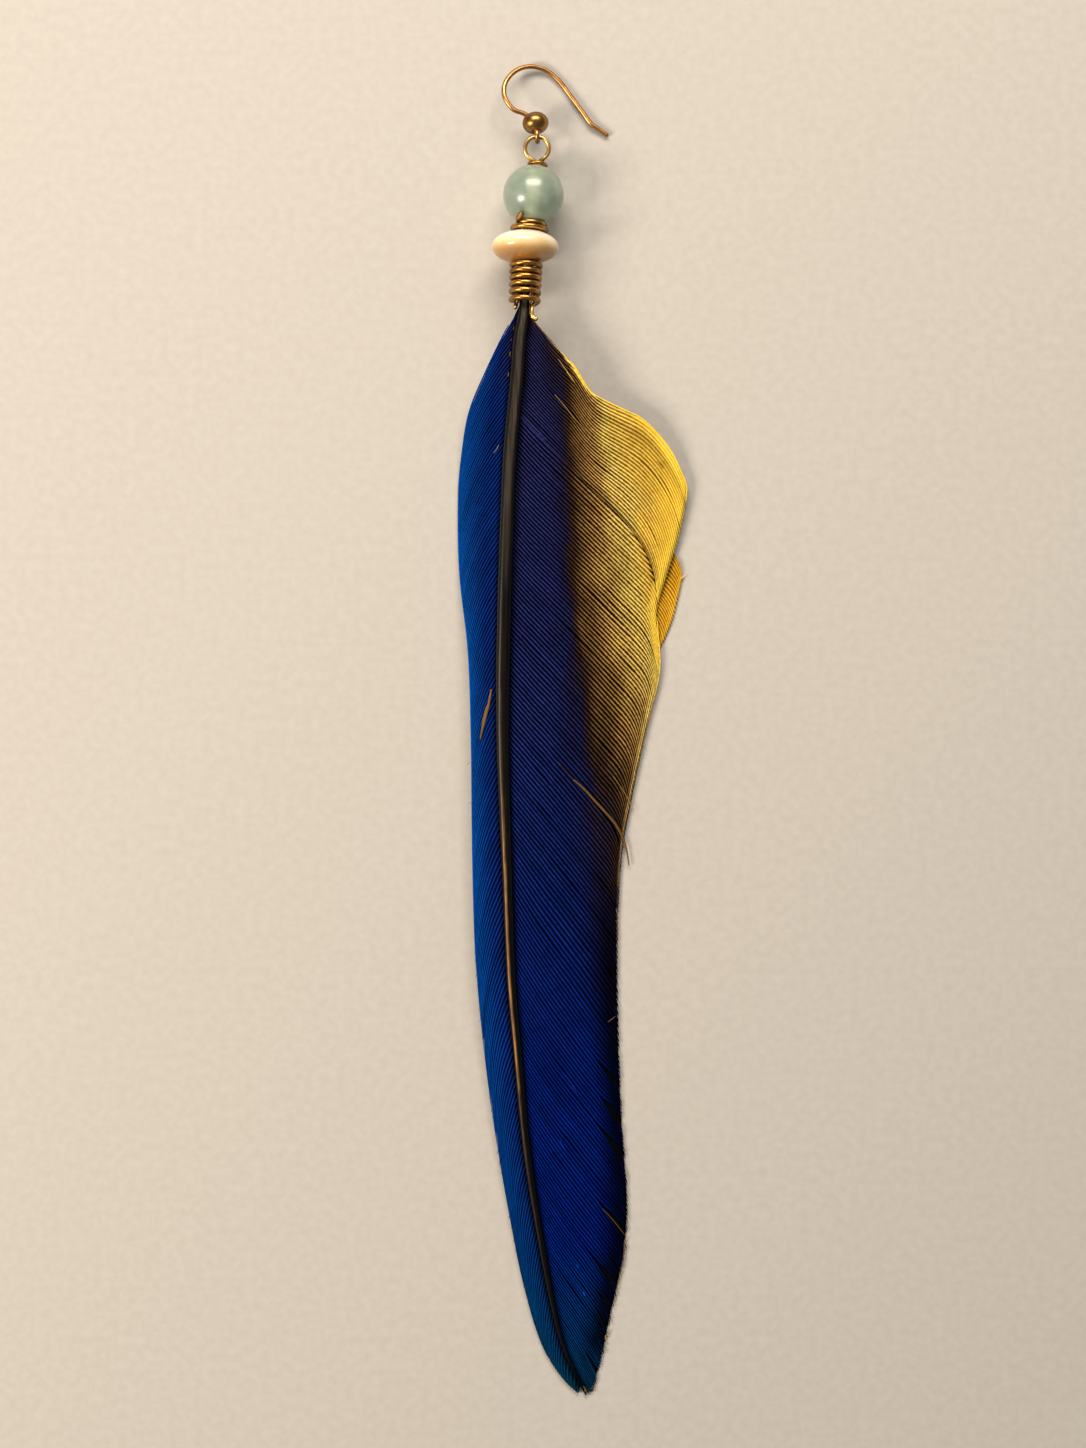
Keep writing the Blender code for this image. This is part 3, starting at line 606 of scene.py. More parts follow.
outerGroup = {
    "side": -1, "edge": leftEdge, "looks": leftLooks, "segments": 24, "crest": 0.11, "depth": 0.1, "seed": 8,
    "rows": (304, 1388), "raised": 0.0, "coarseness": 1.55, "splits": 34, "wave": 0.08, "taper": 0.3,
    "rootSlope": [(304, 48), (480, 50), (600, 55), (800, 58), (900, 62), (1000, 65), (1100, 68), (1200, 72),
                  (1300, 76),
                  (1390, 80)],
    "rimSlope": [(304, 50), (340, 55), (380, 64), (420, 71), (500, 78), (580, 83), (700, 85), (900, 87),
                 (1000, 91),
                 (1100, 95), (1200, 98), (1300, 102), (1350, 108), (1390, 116)],
    "pitch": [(300, 3.3), (480, 3.6), (600, 4.2), (800, 4.8), (1000, 5.2), (1390, 4.4)],
    "ragged": [(300, 0.004), (700, 0.008), (950, 0.02), (1300, 0.02), (1400, 0.01)],
    "partings": [((502, 440), (468, 505), 0.14), ((500, 520), (466, 590), 0.14), ((480, 743), (475, 778),
                                                                                  0.14),
                 ((495, 765), (481, 799), 0.12), ((492, 886), (488, 897), 0.12), ((497, 978), (483, 1031),
                                                                                  0.4),
                 ((504, 1006), (490, 1056), 0.22), ((498, 1053), (491, 1076), 0.2), ((502, 1067), (495,
                                                                                                   1104), 0.4)],
}


# Points at even distances along a line, up to a share of its whole length.
def evenly(line, segments, reach=1.0):
    lengths = [0.0]
    for first, second in zip(line, line[1:]):
        lengths.append(lengths[-1] + (second - first).length)
    points, index = [], 0
    for step in range(segments + 1):
        target = lengths[-1] * reach * step / segments
        while index < len(line) - 2 and lengths[index + 1] < target:
            index += 1
        span = max(lengths[index + 1] - lengths[index], 1e-9)
        points.append(line[index].lerp(line[index + 1], clamp((target - lengths[index]) / span)))
    return points


firstLine = evenly(smoothPath([(*spot(*place), 0) for place in firstBarb], 6), 80)
slitLine = evenly(smoothPath([(*spot(*place), 0) for place in slitBarb], 6), 80)


# Where the slit lies at one height of the page, or None away from it.
def slitAt(y):
    for first, second in zip(slitLine, slitLine[1:]):
        if first.y >= y >= second.y:
            return first.x + (second.x - first.x) * (first.y - y) / max(first.y - second.y, 1e-9)
    return None


# One border between barbs in plan, from the shaft to the edge.
def barbLine(group, row):
    side, y = group["side"], spot(0, row)[1]
    shaftX, _, radius = stationValues(shaftStations, y)
    if "rimSlope" not in group:
        share = (row - group["rows"][0]) / (group["rows"][1] - group["rows"][0])
        line = [a.lerp(b, share) for a, b in zip(firstLine, slitLine)]
        # the ends are drawn out to the rounded edge
        gap = stationValues(group["edge"], line[-1].y)[0] - line[-1].x
        for step, point in enumerate(line):
            point.x += gap * (step / (len(line) - 1)) ** 4
        return line
    point = Vector((shaftX + side * 0.45 * radius, y, 0))
    line = [point]
    for _ in range(260):
        row = rowOf(point.y)
        edgeX = stationValues(group["edge"], point.y)[0]
        shaftX = stationValues(shaftStations, point.y)[0]
        root, rim = readRow(group["rootSlope"], row)[0], readRow(group["rimSlope"], row)[0]
        if side > 0:
            middle = readRow(group["openSlope"], row)[0]
            slope = root + (middle - root) * ease(1.5, 6.0, point.x - shaftX)
            slope += (rim - slope) * (1 - ease(0.0, readRow(group["rimWidth"], row)[0],
                                               edgeX - point.x)) ** 1.5
            slit = slitAt(point.y)
            edgeX += 0.2 * ease(600, 680, row)   # the tapered tips show where the edge is
            if slit is not None and row > 440:
                edgeX = min(edgeX, slit + 0.22)   # the ends lie under the raised shoulder
        else:
            share = clamp((shaftX - point.x) / max(shaftX - edgeX, 0.1))
            slope = root + (rim - root) * share**1.5
        turn = math.radians(slope)
        following = point + Vector((side * math.cos(turn), -math.sin(turn), 0)) * 0.3
        if side * (edgeX - following.x) < 0.02 or following.y < -87.4:
            break
        point = following
        line.append(point)
    last = line[-1] - line[-2] if len(line) > 1 else Vector((side * 0.1, -0.2, 0))
    line.append(line[-1] + last * 0.5)
    return line


# Rows of the barbs' roots, and the lines of the borders between the barbs.
def layBarbs(group):
    rows = [group["rows"][0]]
    while rows[-1] < group["rows"][1]:
        step = readRow(group["pitch"], rows[-1])[0] * group["coarseness"]
        rows.append(rows[-1] + step if rows[-1] + 1.5 * step < group["rows"][1] else group["rows"][1])
    return rows, [barbLine(group, row) for row in rows]


# The border and the step along it that lie nearest to a place in the photo.
def nearest(borders, column, row):
    target = Vector((*spot(column, row), 0))
    best = min(
        ((point - target).length, index, step)
        for index, line in enumerate(borders) for step, point in enumerate(line)
    )
    return best[1], best[2]


# How far a border moves aside at each step, for the partings near it, which
# stay open to the edge, and for the short splits, which close again.
def partingShift(partings, place, beyond, step):
    shift = 0.0
    for border, first, last, width, closes in partings:
        gap = place - border
        if step < first or abs(gap) > 12 or (closes and step > last):
            continue
        opening = width * (math.sin(math.pi * (step - first) / (last - first)) if closes else ease(first,
                                                                                                   last, step))
        direction = 1.0 if (gap > 0 or (gap == 0 and beyond)) else -1.0
        shift += direction * 0.5 * opening * math.exp(-abs(gap) / 2.6)
    return shift


# The faces of one barb, a four-sided strip closed at both ends.
def barbFaces(base, segments):
    strip = []
    for ring in range(base, base + segments * 4, 4):
        for side in range(4):
            a, b = ring + side, ring + (side + 1) % 4
            strip.append((a, b, b + 4, a + 4))
    last = base + segments * 4
    return strip + [(base + 3, base + 2, base + 1, base), (last, last + 1, last + 2, last + 3)]


def growBarbs(name, group):
    draw = random.Random(group["seed"])
    rows, borders = layBarbs(group)
    segments = group["segments"]
    even = [evenly(line, segments) for line in borders]
    partings = []
    for inner, outer, width in group["partings"]:
        innerBorder, first = nearest(even, *inner)
        outerBorder, last = nearest(even, *outer)
        partings.append((round(0.4 * innerBorder + 0.6 * outerBorder), first, max(last, first + 3), width,
                         False))
    for _ in range(group["splits"]):
        first = draw.randint(2, segments - 8)
        partings.append((draw.randint(2, len(borders) - 3), first, first + draw.randint(5, 12),
                         0.07 + 0.11 * draw.random(), True))
    looks = noLooks()
    points, faces = [], []
    for barb in range(len(borders) - 1):
        row = (rows[barb] + rows[barb + 1]) / 2
        ragged = readRow(group["ragged"], row)[0]
        clump = 0.5 + 0.5 * noise.noise(Vector((barb * 0.21, group["seed"], 0.0)))
        reach = 1.0 - ragged * (0.7 * clump + 0.6 * draw.random())
        lean = 0.16 * (draw.random() - 0.5)
        tint = 1.0 + 0.2 * (draw.random() - 0.5) + 0.28 * noise.noise(Vector((barb * 0.37, 4.0, group["seed"])))
        crestHeight = group["crest"] * (0.8 + 0.4 * draw.random())
        lines = [evenly(borders[barb], segments, reach), evenly(borders[barb + 1], segments, reach)]
        base = len(points)
        travelled = 0.0
        for step in range(segments + 1):
            a, b = lines[0][step], lines[1][step]
            across = b - a
            unit = across.normalized() if across.length > 1e-6 else Vector((0, -1, 0))
            waves = [group["wave"] * noise.noise(Vector((place * 0.14, step * 0.4, group["seed"])))
                     for place in (barb, barb + 1)]
            a = a + unit * (partingShift(partings, barb, True, step) + waves[0])
            b = b + unit * (partingShift(partings, barb + 1, False, step) + waves[1])
            middle = a.lerp(b, 0.5 + lean * math.sin(math.pi * step / segments))
            taper = 1.0 - group["taper"] * ease(0.94, 1.0, step / segments)
            a, b = middle.lerp(a, taper * 1.05), middle.lerp(b, taper * 1.05)
            if step:
                travelled += (middle - previous).length
            previous = middle
            edgeX = stationValues(group["edge"], middle.y)[0]
            shaftX, _, radius = stationValues(shaftStations, middle.y)
            for point, ridge, lift in ((a, 0.0, 0.0), (middle, 1.0, crestHeight), (b, 0.0, 0.0),
                                       (middle, 0.0, -group["depth"])):
                z, share = vaneSurface(group["edge"], point.x, point.y)
                z += 0.12 * noise.noise(Vector((point.x * 0.16, point.y * 0.1, 3.0)))
                z = max(z, 0.2) + 0.1 + group["raised"] * share + lift * taper
                rootGap = max(abs(point.x - shaftX) - 0.8 * radius, 0.0)
                warm, azure, shade, smooth = group["looks"](point.x, point.y, abs(edgeX - point.x), rootGap)
                points.append((point.x, point.y, z))
                crest = max(ridge, 0.75 * smooth, 0.35 * ease(0.25, 0.6, warm))
                addLook(looks, crest, downAt(point.y), warm, azure, shade * tint, travelled)
        strip = barbFaces(base, segments)
        faces += strip if group["side"] > 0 else [face[::-1] for face in strip]
    settle(makePiece(name, points, faces, [keratin], looks), "drop", "feather")
    print(name, len(borders) - 1, "barbs,", len(faces) * 2, "triangles")


growBarbs("yellow_shoulder_barbs", shoulderGroup)
growBarbs("inner_vane_barbs", innerGroup)
growBarbs("outer_vane_barbs", outerGroup)


# A thin sheet under the barbs of both vanes: dark on top as painted shade seen through the gaps, golden below.
def makeUnderWeb():
    rows, columns = 170, 10
    points, faces, kinds = [], [], []
    for layer in (0.0, -0.07):
        for row in range(rows + 1):
            y = 54.6 + (-86.6 - 54.6) * row / rows
            shaftX = stationValues(shaftStations, y)[0]
            for column in range(-columns, columns + 1):
                edge = leftEdge if column < 0 else rightEdge
                edgeX = stationValues(edge, y)[0]
                # its painted shade shows as a dark rim between the barbs' ends low down on the right
                inset = 0.18 if column < 0 else 0.32 - 0.22 * ease(880, 960, rowOf(y))
                width = max(abs(edgeX - shaftX), 0.1)
                x = shaftX + (edgeX - shaftX) * abs(column) / columns * max(1 - inset / width, 0.0)
                z = max(vaneSurface(edge, x, y)[0] - 0.05, 0.12) + layer
                points.append((x, y, z))
    width = 2 * columns + 1
    half = (rows + 1) * width
    for row in range(rows):
        for column in range(2 * columns):
            a = row * width + column
            faces.append((a, a + width, a + width + 1, a + 1))
            faces.append((a + half, a + 1 + half, a + width + 1 + half, a + width + half))
            kinds += [0, 1]
    rim = [row * width for row in range(rows + 1)]
    rim += [rows * width + column for column in range(1, width)]
    rim += [row * width + width - 1 for row in range(rows - 1, -1, -1)]
    rim += [column for column in range(width - 2, 0, -1)]
    for index, first in enumerate(rim):
        second = rim[(index + 1) % len(rim)]
        faces.append((first, first + half, second + half, second))
        kinds.append(0)
    settle(makePiece("shade_sheet_under_barbs", points, faces, [shadeSheetTop, webUnder], None, kinds), "drop", "feather")


makeUnderWeb()


# The shaft: a flattened rod with a shallow groove pressed along its crown, and
# by the photograph's rows how golden its left side is, partly its own brown and
# partly painted highlight.
shaftLooks = {
    "sides": 32, "rings": 260, "flatten": 0.92, "groove": 0.1,
    "leftHighlightRows": [(600, 0.0), (680, 0.08), (790, 0.14), (860, 0.7), (1074, 0.8), (1096, 0.15), (1200, 0.06),
                   (1260, 0.0)],
}


def makeShaft():
    rings, sides = shaftLooks["rings"], shaftLooks["sides"]
    points, faces, crownHighlight, golden = [], [], [], []
    for ring in range(rings + 1):
        y = 59.9 + (-87.7 - 59.9) * ring / rings
        x, z, radius = stationValues(shaftStations, y)
        row = rowOf(y)
        wobble = 1 + 0.035 * noise.noise(Vector((0.0, y * 0.35, 7.0)))
        leftBrownAndHighlight = readRow(shaftLooks["leftHighlightRows"], row)[0]
        for side in range(sides):
            angle = math.tau * side / sides
            c, s = math.cos(angle), math.sin(angle)
            groove = shaftLooks["groove"] * math.exp(-((c / 0.3) ** 2)) if s > 0 else 0.0
            points.append((x + c * radius * wobble, y, z + s * radius * shaftLooks["flatten"] * (1 - groove)))
            # the upper middle of the crown is painted lighter as painted highlight, and the sides stay dark
            top = ease(0.15, 0.85, s)
            upper = 0.12 + 0.18 * (1 - ease(850, 1000, row)) + 0.54 * (1 - ease(500, 640, row))
            crownHighlight.append(top * upper * (1 - ease(0.35, 0.75, abs(c - 0.05))))
            golden.append(leftBrownAndHighlight * ease(0.3, 0.55, s) * ease(0.12, 0.26, -c) * (1 - ease(0.52, 0.72, -c))
                          * (0.8 + 0.4 * noise.noise(Vector((0.0, y * 0.5, 1.0)))))
    for ring in range(rings):
        for side in range(sides):
            a, b = ring * sides + side, ring * sides + (side + 1) % sides
            faces.append((a, a + sides, b + sides, b))
    faces.append(tuple(range(sides)))
    faces.append(tuple(rings * sides + side for side in reversed(range(sides))))
    settle(makePiece("shaft", points, faces, [horn], {"crownHighlight": crownHighlight, "golden": golden}), "drop", "feather")


makeShaft()
print("shaft and web made")


# The folded group of barbs behind the right edge, lying on the surface.
foldedBarbs = {
    "inner": [(674, 552), (668, 570), (662, 588), (657, 602), (653, 620), (653, 636), (658, 650)],
    "outer": [(676, 556), (680.5, 565), (683, 575), (681.5, 586), (679, 597), (675, 614), (671, 626), (666,
                                                                                                       638),
              (660, 651)],
    "count": 26, "segments": 12, "height": 0.24, "crest": 0.07,
}


def pathPoint(path, share):
    place = clamp(share) * (len(path) - 1)
    index = min(int(place), len(path) - 2)
    return path[index].lerp(path[index + 1], place - index)


def makeFoldedBarbs():
    setup = foldedBarbs
    inner = smoothPath([Vector((*spot(*p), 0)) for p in setup["inner"]], 6)
    outer = smoothPath([Vector((*spot(*p), 0)) for p in setup["outer"]], 6)
    draw = random.Random(3)
    looks = noLooks()
    points, faces = [], []
    for barb in range(setup["count"]):
        base = len(points)
        for step in range(setup["segments"] + 1):
            t = step / setup["segments"]
            pair = []
            for border in (barb, barb + 1):
                u = border / setup["count"] * 0.86 - 0.04
                start, end = pathPoint(inner, u), pathPoint(outer, u + 0.26)
                bend = start.lerp(end, 0.5) + Vector((0.35, 0.5, 0))
                pair.append(start * (1 - t) ** 2 + bend * 2 * t * (1 - t) + end * t * t)
            middle = (pair[0] + pair[1]) / 2
            taper = 1 - 0.7 * ease(0.88, 1.0, t)
            a, b = middle.lerp(pair[0], taper * 1.08), middle.lerp(pair[1], taper * 1.08)
            rise = setup["height"] + 0.16 * math.sin(math.pi * t)
            for point, ridge, lift in ((a, 0.0, 0.0), (middle, 1.0, setup["crest"]), (b, 0.0, 0.0),
                                       (middle, 0.0, -0.18)):
                points.append((point.x, point.y, max(rise + lift, 0.02)))
                yellow = 0.97 + 0.03 * draw.random()
                # the group is dimmed, most at its inner end under the vane's edge: painted shade
                shade = 0.72 + 0.22 * ease(0.1, 0.6, t)
                addLook(looks, max(ridge, ease(0.55, 0.95, t) * 0.8), 0.3, yellow, 0.0, shade, t * 3.0)
        faces += barbFaces(base, setup["segments"])
    settle(makePiece("folded_barbs", points, faces, [keratin], looks), "drop", "feather")


makeFoldedBarbs()

# Barbs and hairs that have come loose: places in the photograph, radius in
# mm, how warm (0 blue to 1 yellow), how bright, and how high over the vane.
looseBarbs = [
    ([(558, 360), (561, 364), (564, 369)], 0.045, 0.42, 0.9, 0.2),
    ([(563, 367), (567, 372), (569, 376)], 0.05, 0.5, 0.8, 0.2),
    ([(567, 373), (571, 378), (575, 384)], 0.06, 0.6, 0.75, 0.2),
    ([(555, 396), (562, 404), (568, 411), (574, 419), (582, 427), (592, 437)], 0.045, 0.36, 0.9, 0.28),
    # a dark strand as painted shade of the slit under the shoulder
    ([(566, 465), (580, 479), (599, 495), (623, 518), (640, 539), (650, 558), (656, 580)], 0.06, 0.12, 0.2,
     0.27),
    ([(558, 762), (569, 775), (580, 786), (592, 798)], 0.07, 0.2, 0.9, 0.2),
    ([(574, 780), (584, 789), (595, 801), (606, 813), (616, 825), (623, 838), (627, 850), (629.5, 866)],
     0.18, 0.29, 0.58, 0.2),
    ([(614, 777), (623, 790), (630, 802), (635, 812)], 0.045, 0.36, 0.9, 0.15),
    ([(491.5, 690), (489, 704), (486, 716), (483, 728), (480.5, 739)], 0.2, 0.29, 0.66, 0.2),
    ([(487, 706), (484, 718), (481.5, 732)], 0.14, 0.27, 0.66, 0.2),
    ([(499, 446), (497, 450), (494, 454)], 0.05, 0.33, 0.9, 0.2),
    ([(563, 1074), (569, 1081), (577, 1094)], 0.05, 0.0, 1.9, 0.14),
    ([(560, 1142), (563, 1148), (567, 1154)], 0.05, 0.0, 2.2, 0.14),
    ([(577, 1267), (578, 1269), (579, 1271)], 0.06, 0.0, 2.4, 0.14),
    ([(583.6, 1295), (584.5, 1297), (585.4, 1299)], 0.07, 0.0, 2.6, 0.14),
    ([(608.4, 1023.5), (612, 1021), (615.7, 1018)], 0.04, 0.3, 0.8, 0.2),
    ([(603, 1211), (612, 1221), (620, 1231), (627, 1240)], 0.05, 0.26, 0.6, 0.2),
    # thin brown rims along the right edge lower down
    ([(619.6, 882), (618.8, 904), (617.6, 916), (618, 931), (617.5, 953), (617, 965), (618, 986)], 0.05,
     0.24, 0.8, 0.0),
    ([(627, 1240), (625, 1245), (624.4, 1258), (621, 1275), (617.4, 1291), (613, 1309)], 0.06, 0.27, 0.9,
     0.0),
    ([(610, 1333), (609, 1335), (608, 1337)], 0.05, 0.4, 0.9, 0.05),
    ([(607, 1338), (606, 1340), (605.5, 1343)], 0.05, 0.4, 0.9, 0.05),
    ([(605.5, 1346), (605, 1349)], 0.05, 0.34, 0.9, 0.05),
    ([(588, 1389), (590, 1392.5), (592.5, 1392), (592.3, 1388.5)], 0.035, 0.34, 0.9, 0.05),
    ([(583.8, 1390), (585.6, 1393), (587.3, 1396)], 0.09, 0.27, 0.5, 0.1),
    ([(657, 460), (660.5, 463.5), (664, 468)], 0.035, 0.2, 0.5, 0.3),
    ([(682, 578), (684, 576), (686, 574)], 0.07, 0.6, 1.0, 0.1),
    ([(472, 761), (469, 763), (467, 765)], 0.04, 0.3, 1.0, 0.12),
    ([(472, 801), (470, 803), (468, 804)], 0.04, 0.3, 1.0, 0.12),
    ([(514, 328), (513.8, 330), (514.2, 331.5)], 0.05, 0.24, 0.7, 0.26),
    ([(511.8, 340), (511.3, 342.5)], 0.05, 0.24, 0.7, 0.26),
    ([(510.6, 353), (510.1, 356), (510.4, 358)], 0.06, 0.28, 0.7, 0.26),
    ([(508.9, 374), (508.4, 376), (508.8, 378)], 0.06, 0.3, 0.7, 0.26),
]


def makeLooseBarbs():
    looks = noLooks()
    points, faces = [], []
    draw = random.Random(21)
    strands = list(looseBarbs)
    # short fine hairs along both edges lower down and round the tip
    for edge, side, low, high, count in ((rightEdge, 1, 905, 1370, 30), (leftEdge, -1, 940, 1380, 18)):
        for _ in range(count):
            row = low + (high - low) * draw.random()
            y = spot(0, row)[1]
            x = stationValues(edge, y)[0]
            column = x * pixelsPerMm + photoOrigin[0]
            length = 4 + 6 * draw.random()
            lean = side * (0.08 + 0.18 * draw.random())
            path = [(column - side * 3.0 - lean * length, row - length), (column - side * 1.2, row),
                    (column + lean * 2.2, row + length * 0.7)]
            brightness = 0.15 + 0.15 * draw.random() if side > 0 else 0.6 + 0.3 * draw.random()
            strands.append((path, 0.03 + 0.015 * draw.random(), 0.0, brightness, 0.1))
    for path, radius, warm, bright, lift in strands:
        placed = []
        for column, row in path:
            x, y = spot(column, row)
            edge = rightEdge if x > stationValues(shaftStations, y)[0] else leftEdge
            placed.append((x, y, max(vaneSurface(edge, x, y)[0], 0.15) + 0.1 + lift))
        line = smoothPath(placed, 4)
        last = len(line) - 1
        radii = [radius * (0.35 + 0.65 * math.sin(math.pi * (0.12 + 0.82 * i / last))) for i in range(last + 1)]
        made, joined = rodMesh(line, radii, 6, 1.0, len(points))
        points += made
        faces += joined
        for point in made:
            addLook(looks, 0.95, downAt(point.y), warm, 0.0 if point.x > -8 else 0.7, bright, point.y)
    settle(makePiece("loose_barbs", points, faces, [keratin], looks), "drop", "feather")


makeLooseBarbs()

# The hooked tips of the barbs make a smooth bright rim along each edge, from
# one of the photograph's rows to another.
rims = [
    {"edge": leftEdge, "rows": (326, 975), "radius": 0.12, "azure": 1.0, "height": 0.16, "inset": -0.06},
    {"edge": rightEdge, "rows": (316, 500), "radius": 0.09, "azure": 0.0, "height": 0.3, "inset": 0.06},
    {"edge": rightEdge, "rows": (620, 870), "radius": 0.07, "azure": 0.0, "height": 0.16, "inset": -0.06},
]


def makeRims():
    looks = noLooks()
    points, faces = [], []
    for rim in rims:
        top, bottom = spot(0, rim["rows"][0])[1], spot(0, rim["rows"][1])[1]
        count = 120
        path = []
        for index in range(count + 1):
            y = top + (bottom - top) * index / count
            x, z = stationValues(rim["edge"], y)
            path.append(Vector((x - rim["inset"], y, max(z, 0.2) + rim["height"])))
        radii = [rim["radius"] * (0.4 + 0.6 * math.sin(math.pi * index / count) ** 0.3) for index in range(count + 1)]
        made, joined = rodMesh(path, radii, 8, 1.0, len(points))
        points += made
        faces += joined
        for point in made:
            row = rowOf(point.y)
            warm, shade = 0.0, 1.0
            if not rim["azure"]:
                # the golden rim begins dim and turns brown lower down
                browner = ease(640, 740, row)
                warm = readRow(goldStrip, row)[1] - 0.35 * browner
                shade = (0.5 + 0.5 * ease(335, 360, row)) * (1 - 0.6 * browner)
            addLook(looks, 0.9, downAt(point.y), warm, rim["azure"], shade, point.y)
    settle(makePiece("edge_rims", points, faces, [keratin], looks), "drop", "feather")


makeRims()
print("folded and loose barbs and rims made")


# The wires, the beads and the ball lie where their solids do.
greenBead = {"centre": Vector((-5.18, 70.24, 4.0)), "radius": 3.99,
             "axis": Vector((0.13, 0.982, -0.139)).normalized()}
discBead = {"centre": Vector((-6.27, 63.3, 4.97)), "radius": 4.37, "half": 2.15,
            "axis": Vector((0.02, 0.99, -0.139)).normalized()}
holeRadius = 0.68


# From the top of the hole, down the outside and up the hole again; the
# hole's rims are eased. Bulge above 1 makes the side fuller than an ellipse.
def beadProfile(radius, half, count, bulge=1.0):
    start = math.acos((holeRadius + 0.1) / radius)
    profile = []
    for index in range(count + 1):
        angle = start * (1 - 2 * index / count)
        c, s = math.cos(angle), math.sin(angle)
        profile.append((radius * c ** (1 / bulge), half * math.copysign(abs(s) ** bulge, s)))
    top = profile[0][1]
    profile.append((holeRadius, -top + 0.1))
    profile += [(holeRadius, top * (1 - 2 * (index + 1) / 8)) for index in range(6, -1, -1)]
    profile.append((holeRadius, top - 0.1))
    return profile


def makeBeads():
    steps = 56
    profile = beadProfile(greenBead["radius"], greenBead["radius"], steps)
    stone = makeTurned("green_stone_bead", profile, greenBead["centre"], greenBead["axis"], 96,
                       [aventurine, drilledStone], None, steps + 1)
    settle(stone, "drop", "aventurine_bead")
    profile = beadProfile(discBead["radius"], discBead["half"], 48, 0.9)

    # darker towards the end by the wrap: painted shade
    def shadeTowardWrap(points):
        return {"low": [clamp(0.5 - (Vector(p) - discBead["centre"]).dot(discBead["axis"]) / 4.6) for p in points]}

    disc = makeTurned("bone_disc", profile, discBead["centre"], discBead["axis"], 96, [bone], shadeTowardWrap)
    settle(disc, "drop", "disc_bead")


makeBeads()

collarRing = {"radius": 1.1, "wire": 0.25, "distance": 4.16}


def makeCollar():
    profile = []
    for index in range(20):
        angle = -math.tau * index / 20
        profile.append((collarRing["radius"] + collarRing["wire"] * math.cos(angle),
                        collarRing["wire"] * math.sin(angle)))
    centre = greenBead["centre"] + greenBead["axis"] * collarRing["distance"]
    settle(makeTurned("collar", profile, centre, greenBead["axis"], 48, [craftBrass]), "drop", "collar_ring")


makeCollar()


def coilPoint(centre, axis, radius, angle):
    across = Vector((1, 0, 0))
    across = (across - axis * across.dot(axis)).normalized()
    up = across.cross(axis)
    if up.z < 0:
        up = -up
    return centre + (across * math.cos(angle) + up * math.sin(angle)) * radius


spacerCoil = {
    "wire": 0.32,
    "turns": 1.6, "axis": Vector((0.06, 0.985, -0.139)).normalized(), "stepsPerTurn": 40,
    "top": Vector((-5.55, 66.3, 4.54)), "bottom": Vector((-5.75, 65.66, 4.63)),
    "topRadius": 1.83, "bottomRadius": 2.2, "startAngle": 150.0, "stepDownFrom": 0.6, "stepDownTo": 0.95,
    "freeEnd": [Vector((-6.72, 67.5, 7.25)), Vector((-7.1, 67.0, 6.7))],
}


def makeSpacerCoil():
    coil = spacerCoil
    steps = int(coil["turns"] * coil["stepsPerTurn"])
    path = list(coil["freeEnd"])
    turned = []
    for index in range(steps + 1):
        turn = index / steps * coil["turns"]
        fall = ease(coil["stepDownFrom"], coil["stepDownTo"], turn)
        centre = coil["top"].lerp(coil["bottom"], fall)
        radius = coil["topRadius"] + (coil["bottomRadius"] - coil["topRadius"]) * fall
        turned.append(coilPoint(centre, coil["axis"], radius,
                                math.radians(coil["startAngle"]) - math.tau * turn))
    lead = smoothPath(path + [turned[0], turned[2]], 6)[:13]
    settle(makeWire("bead_coil", lead[:-1] + turned, coil["wire"], 16, craftBrass), "drop", "spacer_coil")


makeSpacerCoil()

# Each turn of the wrap runs level over the front and steps down behind.
wireWrap = {
    "start": Vector((-6.15, 60.84, 5.32)), "end": Vector((-6.335, 56.26, 5.965)), "wire": 0.375,
    "steps": [0.88, 0.84, 0.88, 0.98, 1.05, 0.9], "lastTurn": 0.7, "startRadius": 1.82, "endRadius": 1.74,
    "stepsPerTurn": 40,
}


def makeWrap():
    wrap = wireWrap
    steps = wrap["steps"]
    length = sum(steps[:-1])
    axis = (wrap["start"] - wrap["end"]).normalized()
    path = []
    for turn, step in enumerate(steps):
        done = sum(steps[:turn])
        count = wrap["stepsPerTurn"]
        if turn == len(steps) - 1:
            count = round(count * wrap["lastTurn"])
        for index in range(count):
            turned = index / wrap["stepsPerTurn"]
            share = (done + step * ease(0.45, 1.05, turned)) / length
            centre = wrap["start"].lerp(wrap["end"], share)
            radius = wrap["startRadius"] + (wrap["endRadius"] - wrap["startRadius"]) * share
            path.append(coilPoint(centre, axis, radius, math.pi - math.tau * turned))
    settle(makeWire("quill_wrap", path, wrap["wire"], 16, craftBrass), "drop", "wire_wrap")


makeWrap()

eyeWire = {
    "centre": Vector((-4.72, 76.4, 3.4)), "radius": 1.57, "wire": 0.28, "arcEnd": -48.0,
    "legs": [(Vector((-4.69, 74.7, 3.41)), 0.36), (Vector((-4.69, 74.2, 3.44)), 0.32),
             (Vector((-5.18, 70.24, 4.0)), 0.32), (Vector((-5.70, 66.32, 4.55)), 0.32),
             (Vector((-6.23, 65.4, 4.68)), 0.32), (Vector((-6.31, 61.5, 5.22)), 0.32),
             (Vector((-6.31, 61.05, 5.28)), 0.32), (Vector((-6.22, 60.15, 5.42)), 1.05),
             (Vector((-6.32, 56.4, 5.96)), 1.05)],
    "leftEnd": [Vector((-7.58, 55.2, 6.45))],
    "rightEnd": [Vector((-5.4, 55.0, 6.42)), Vector((-5.3, 54.1, 6.55)), Vector((-4.75, 53.7, 6.62))],
}


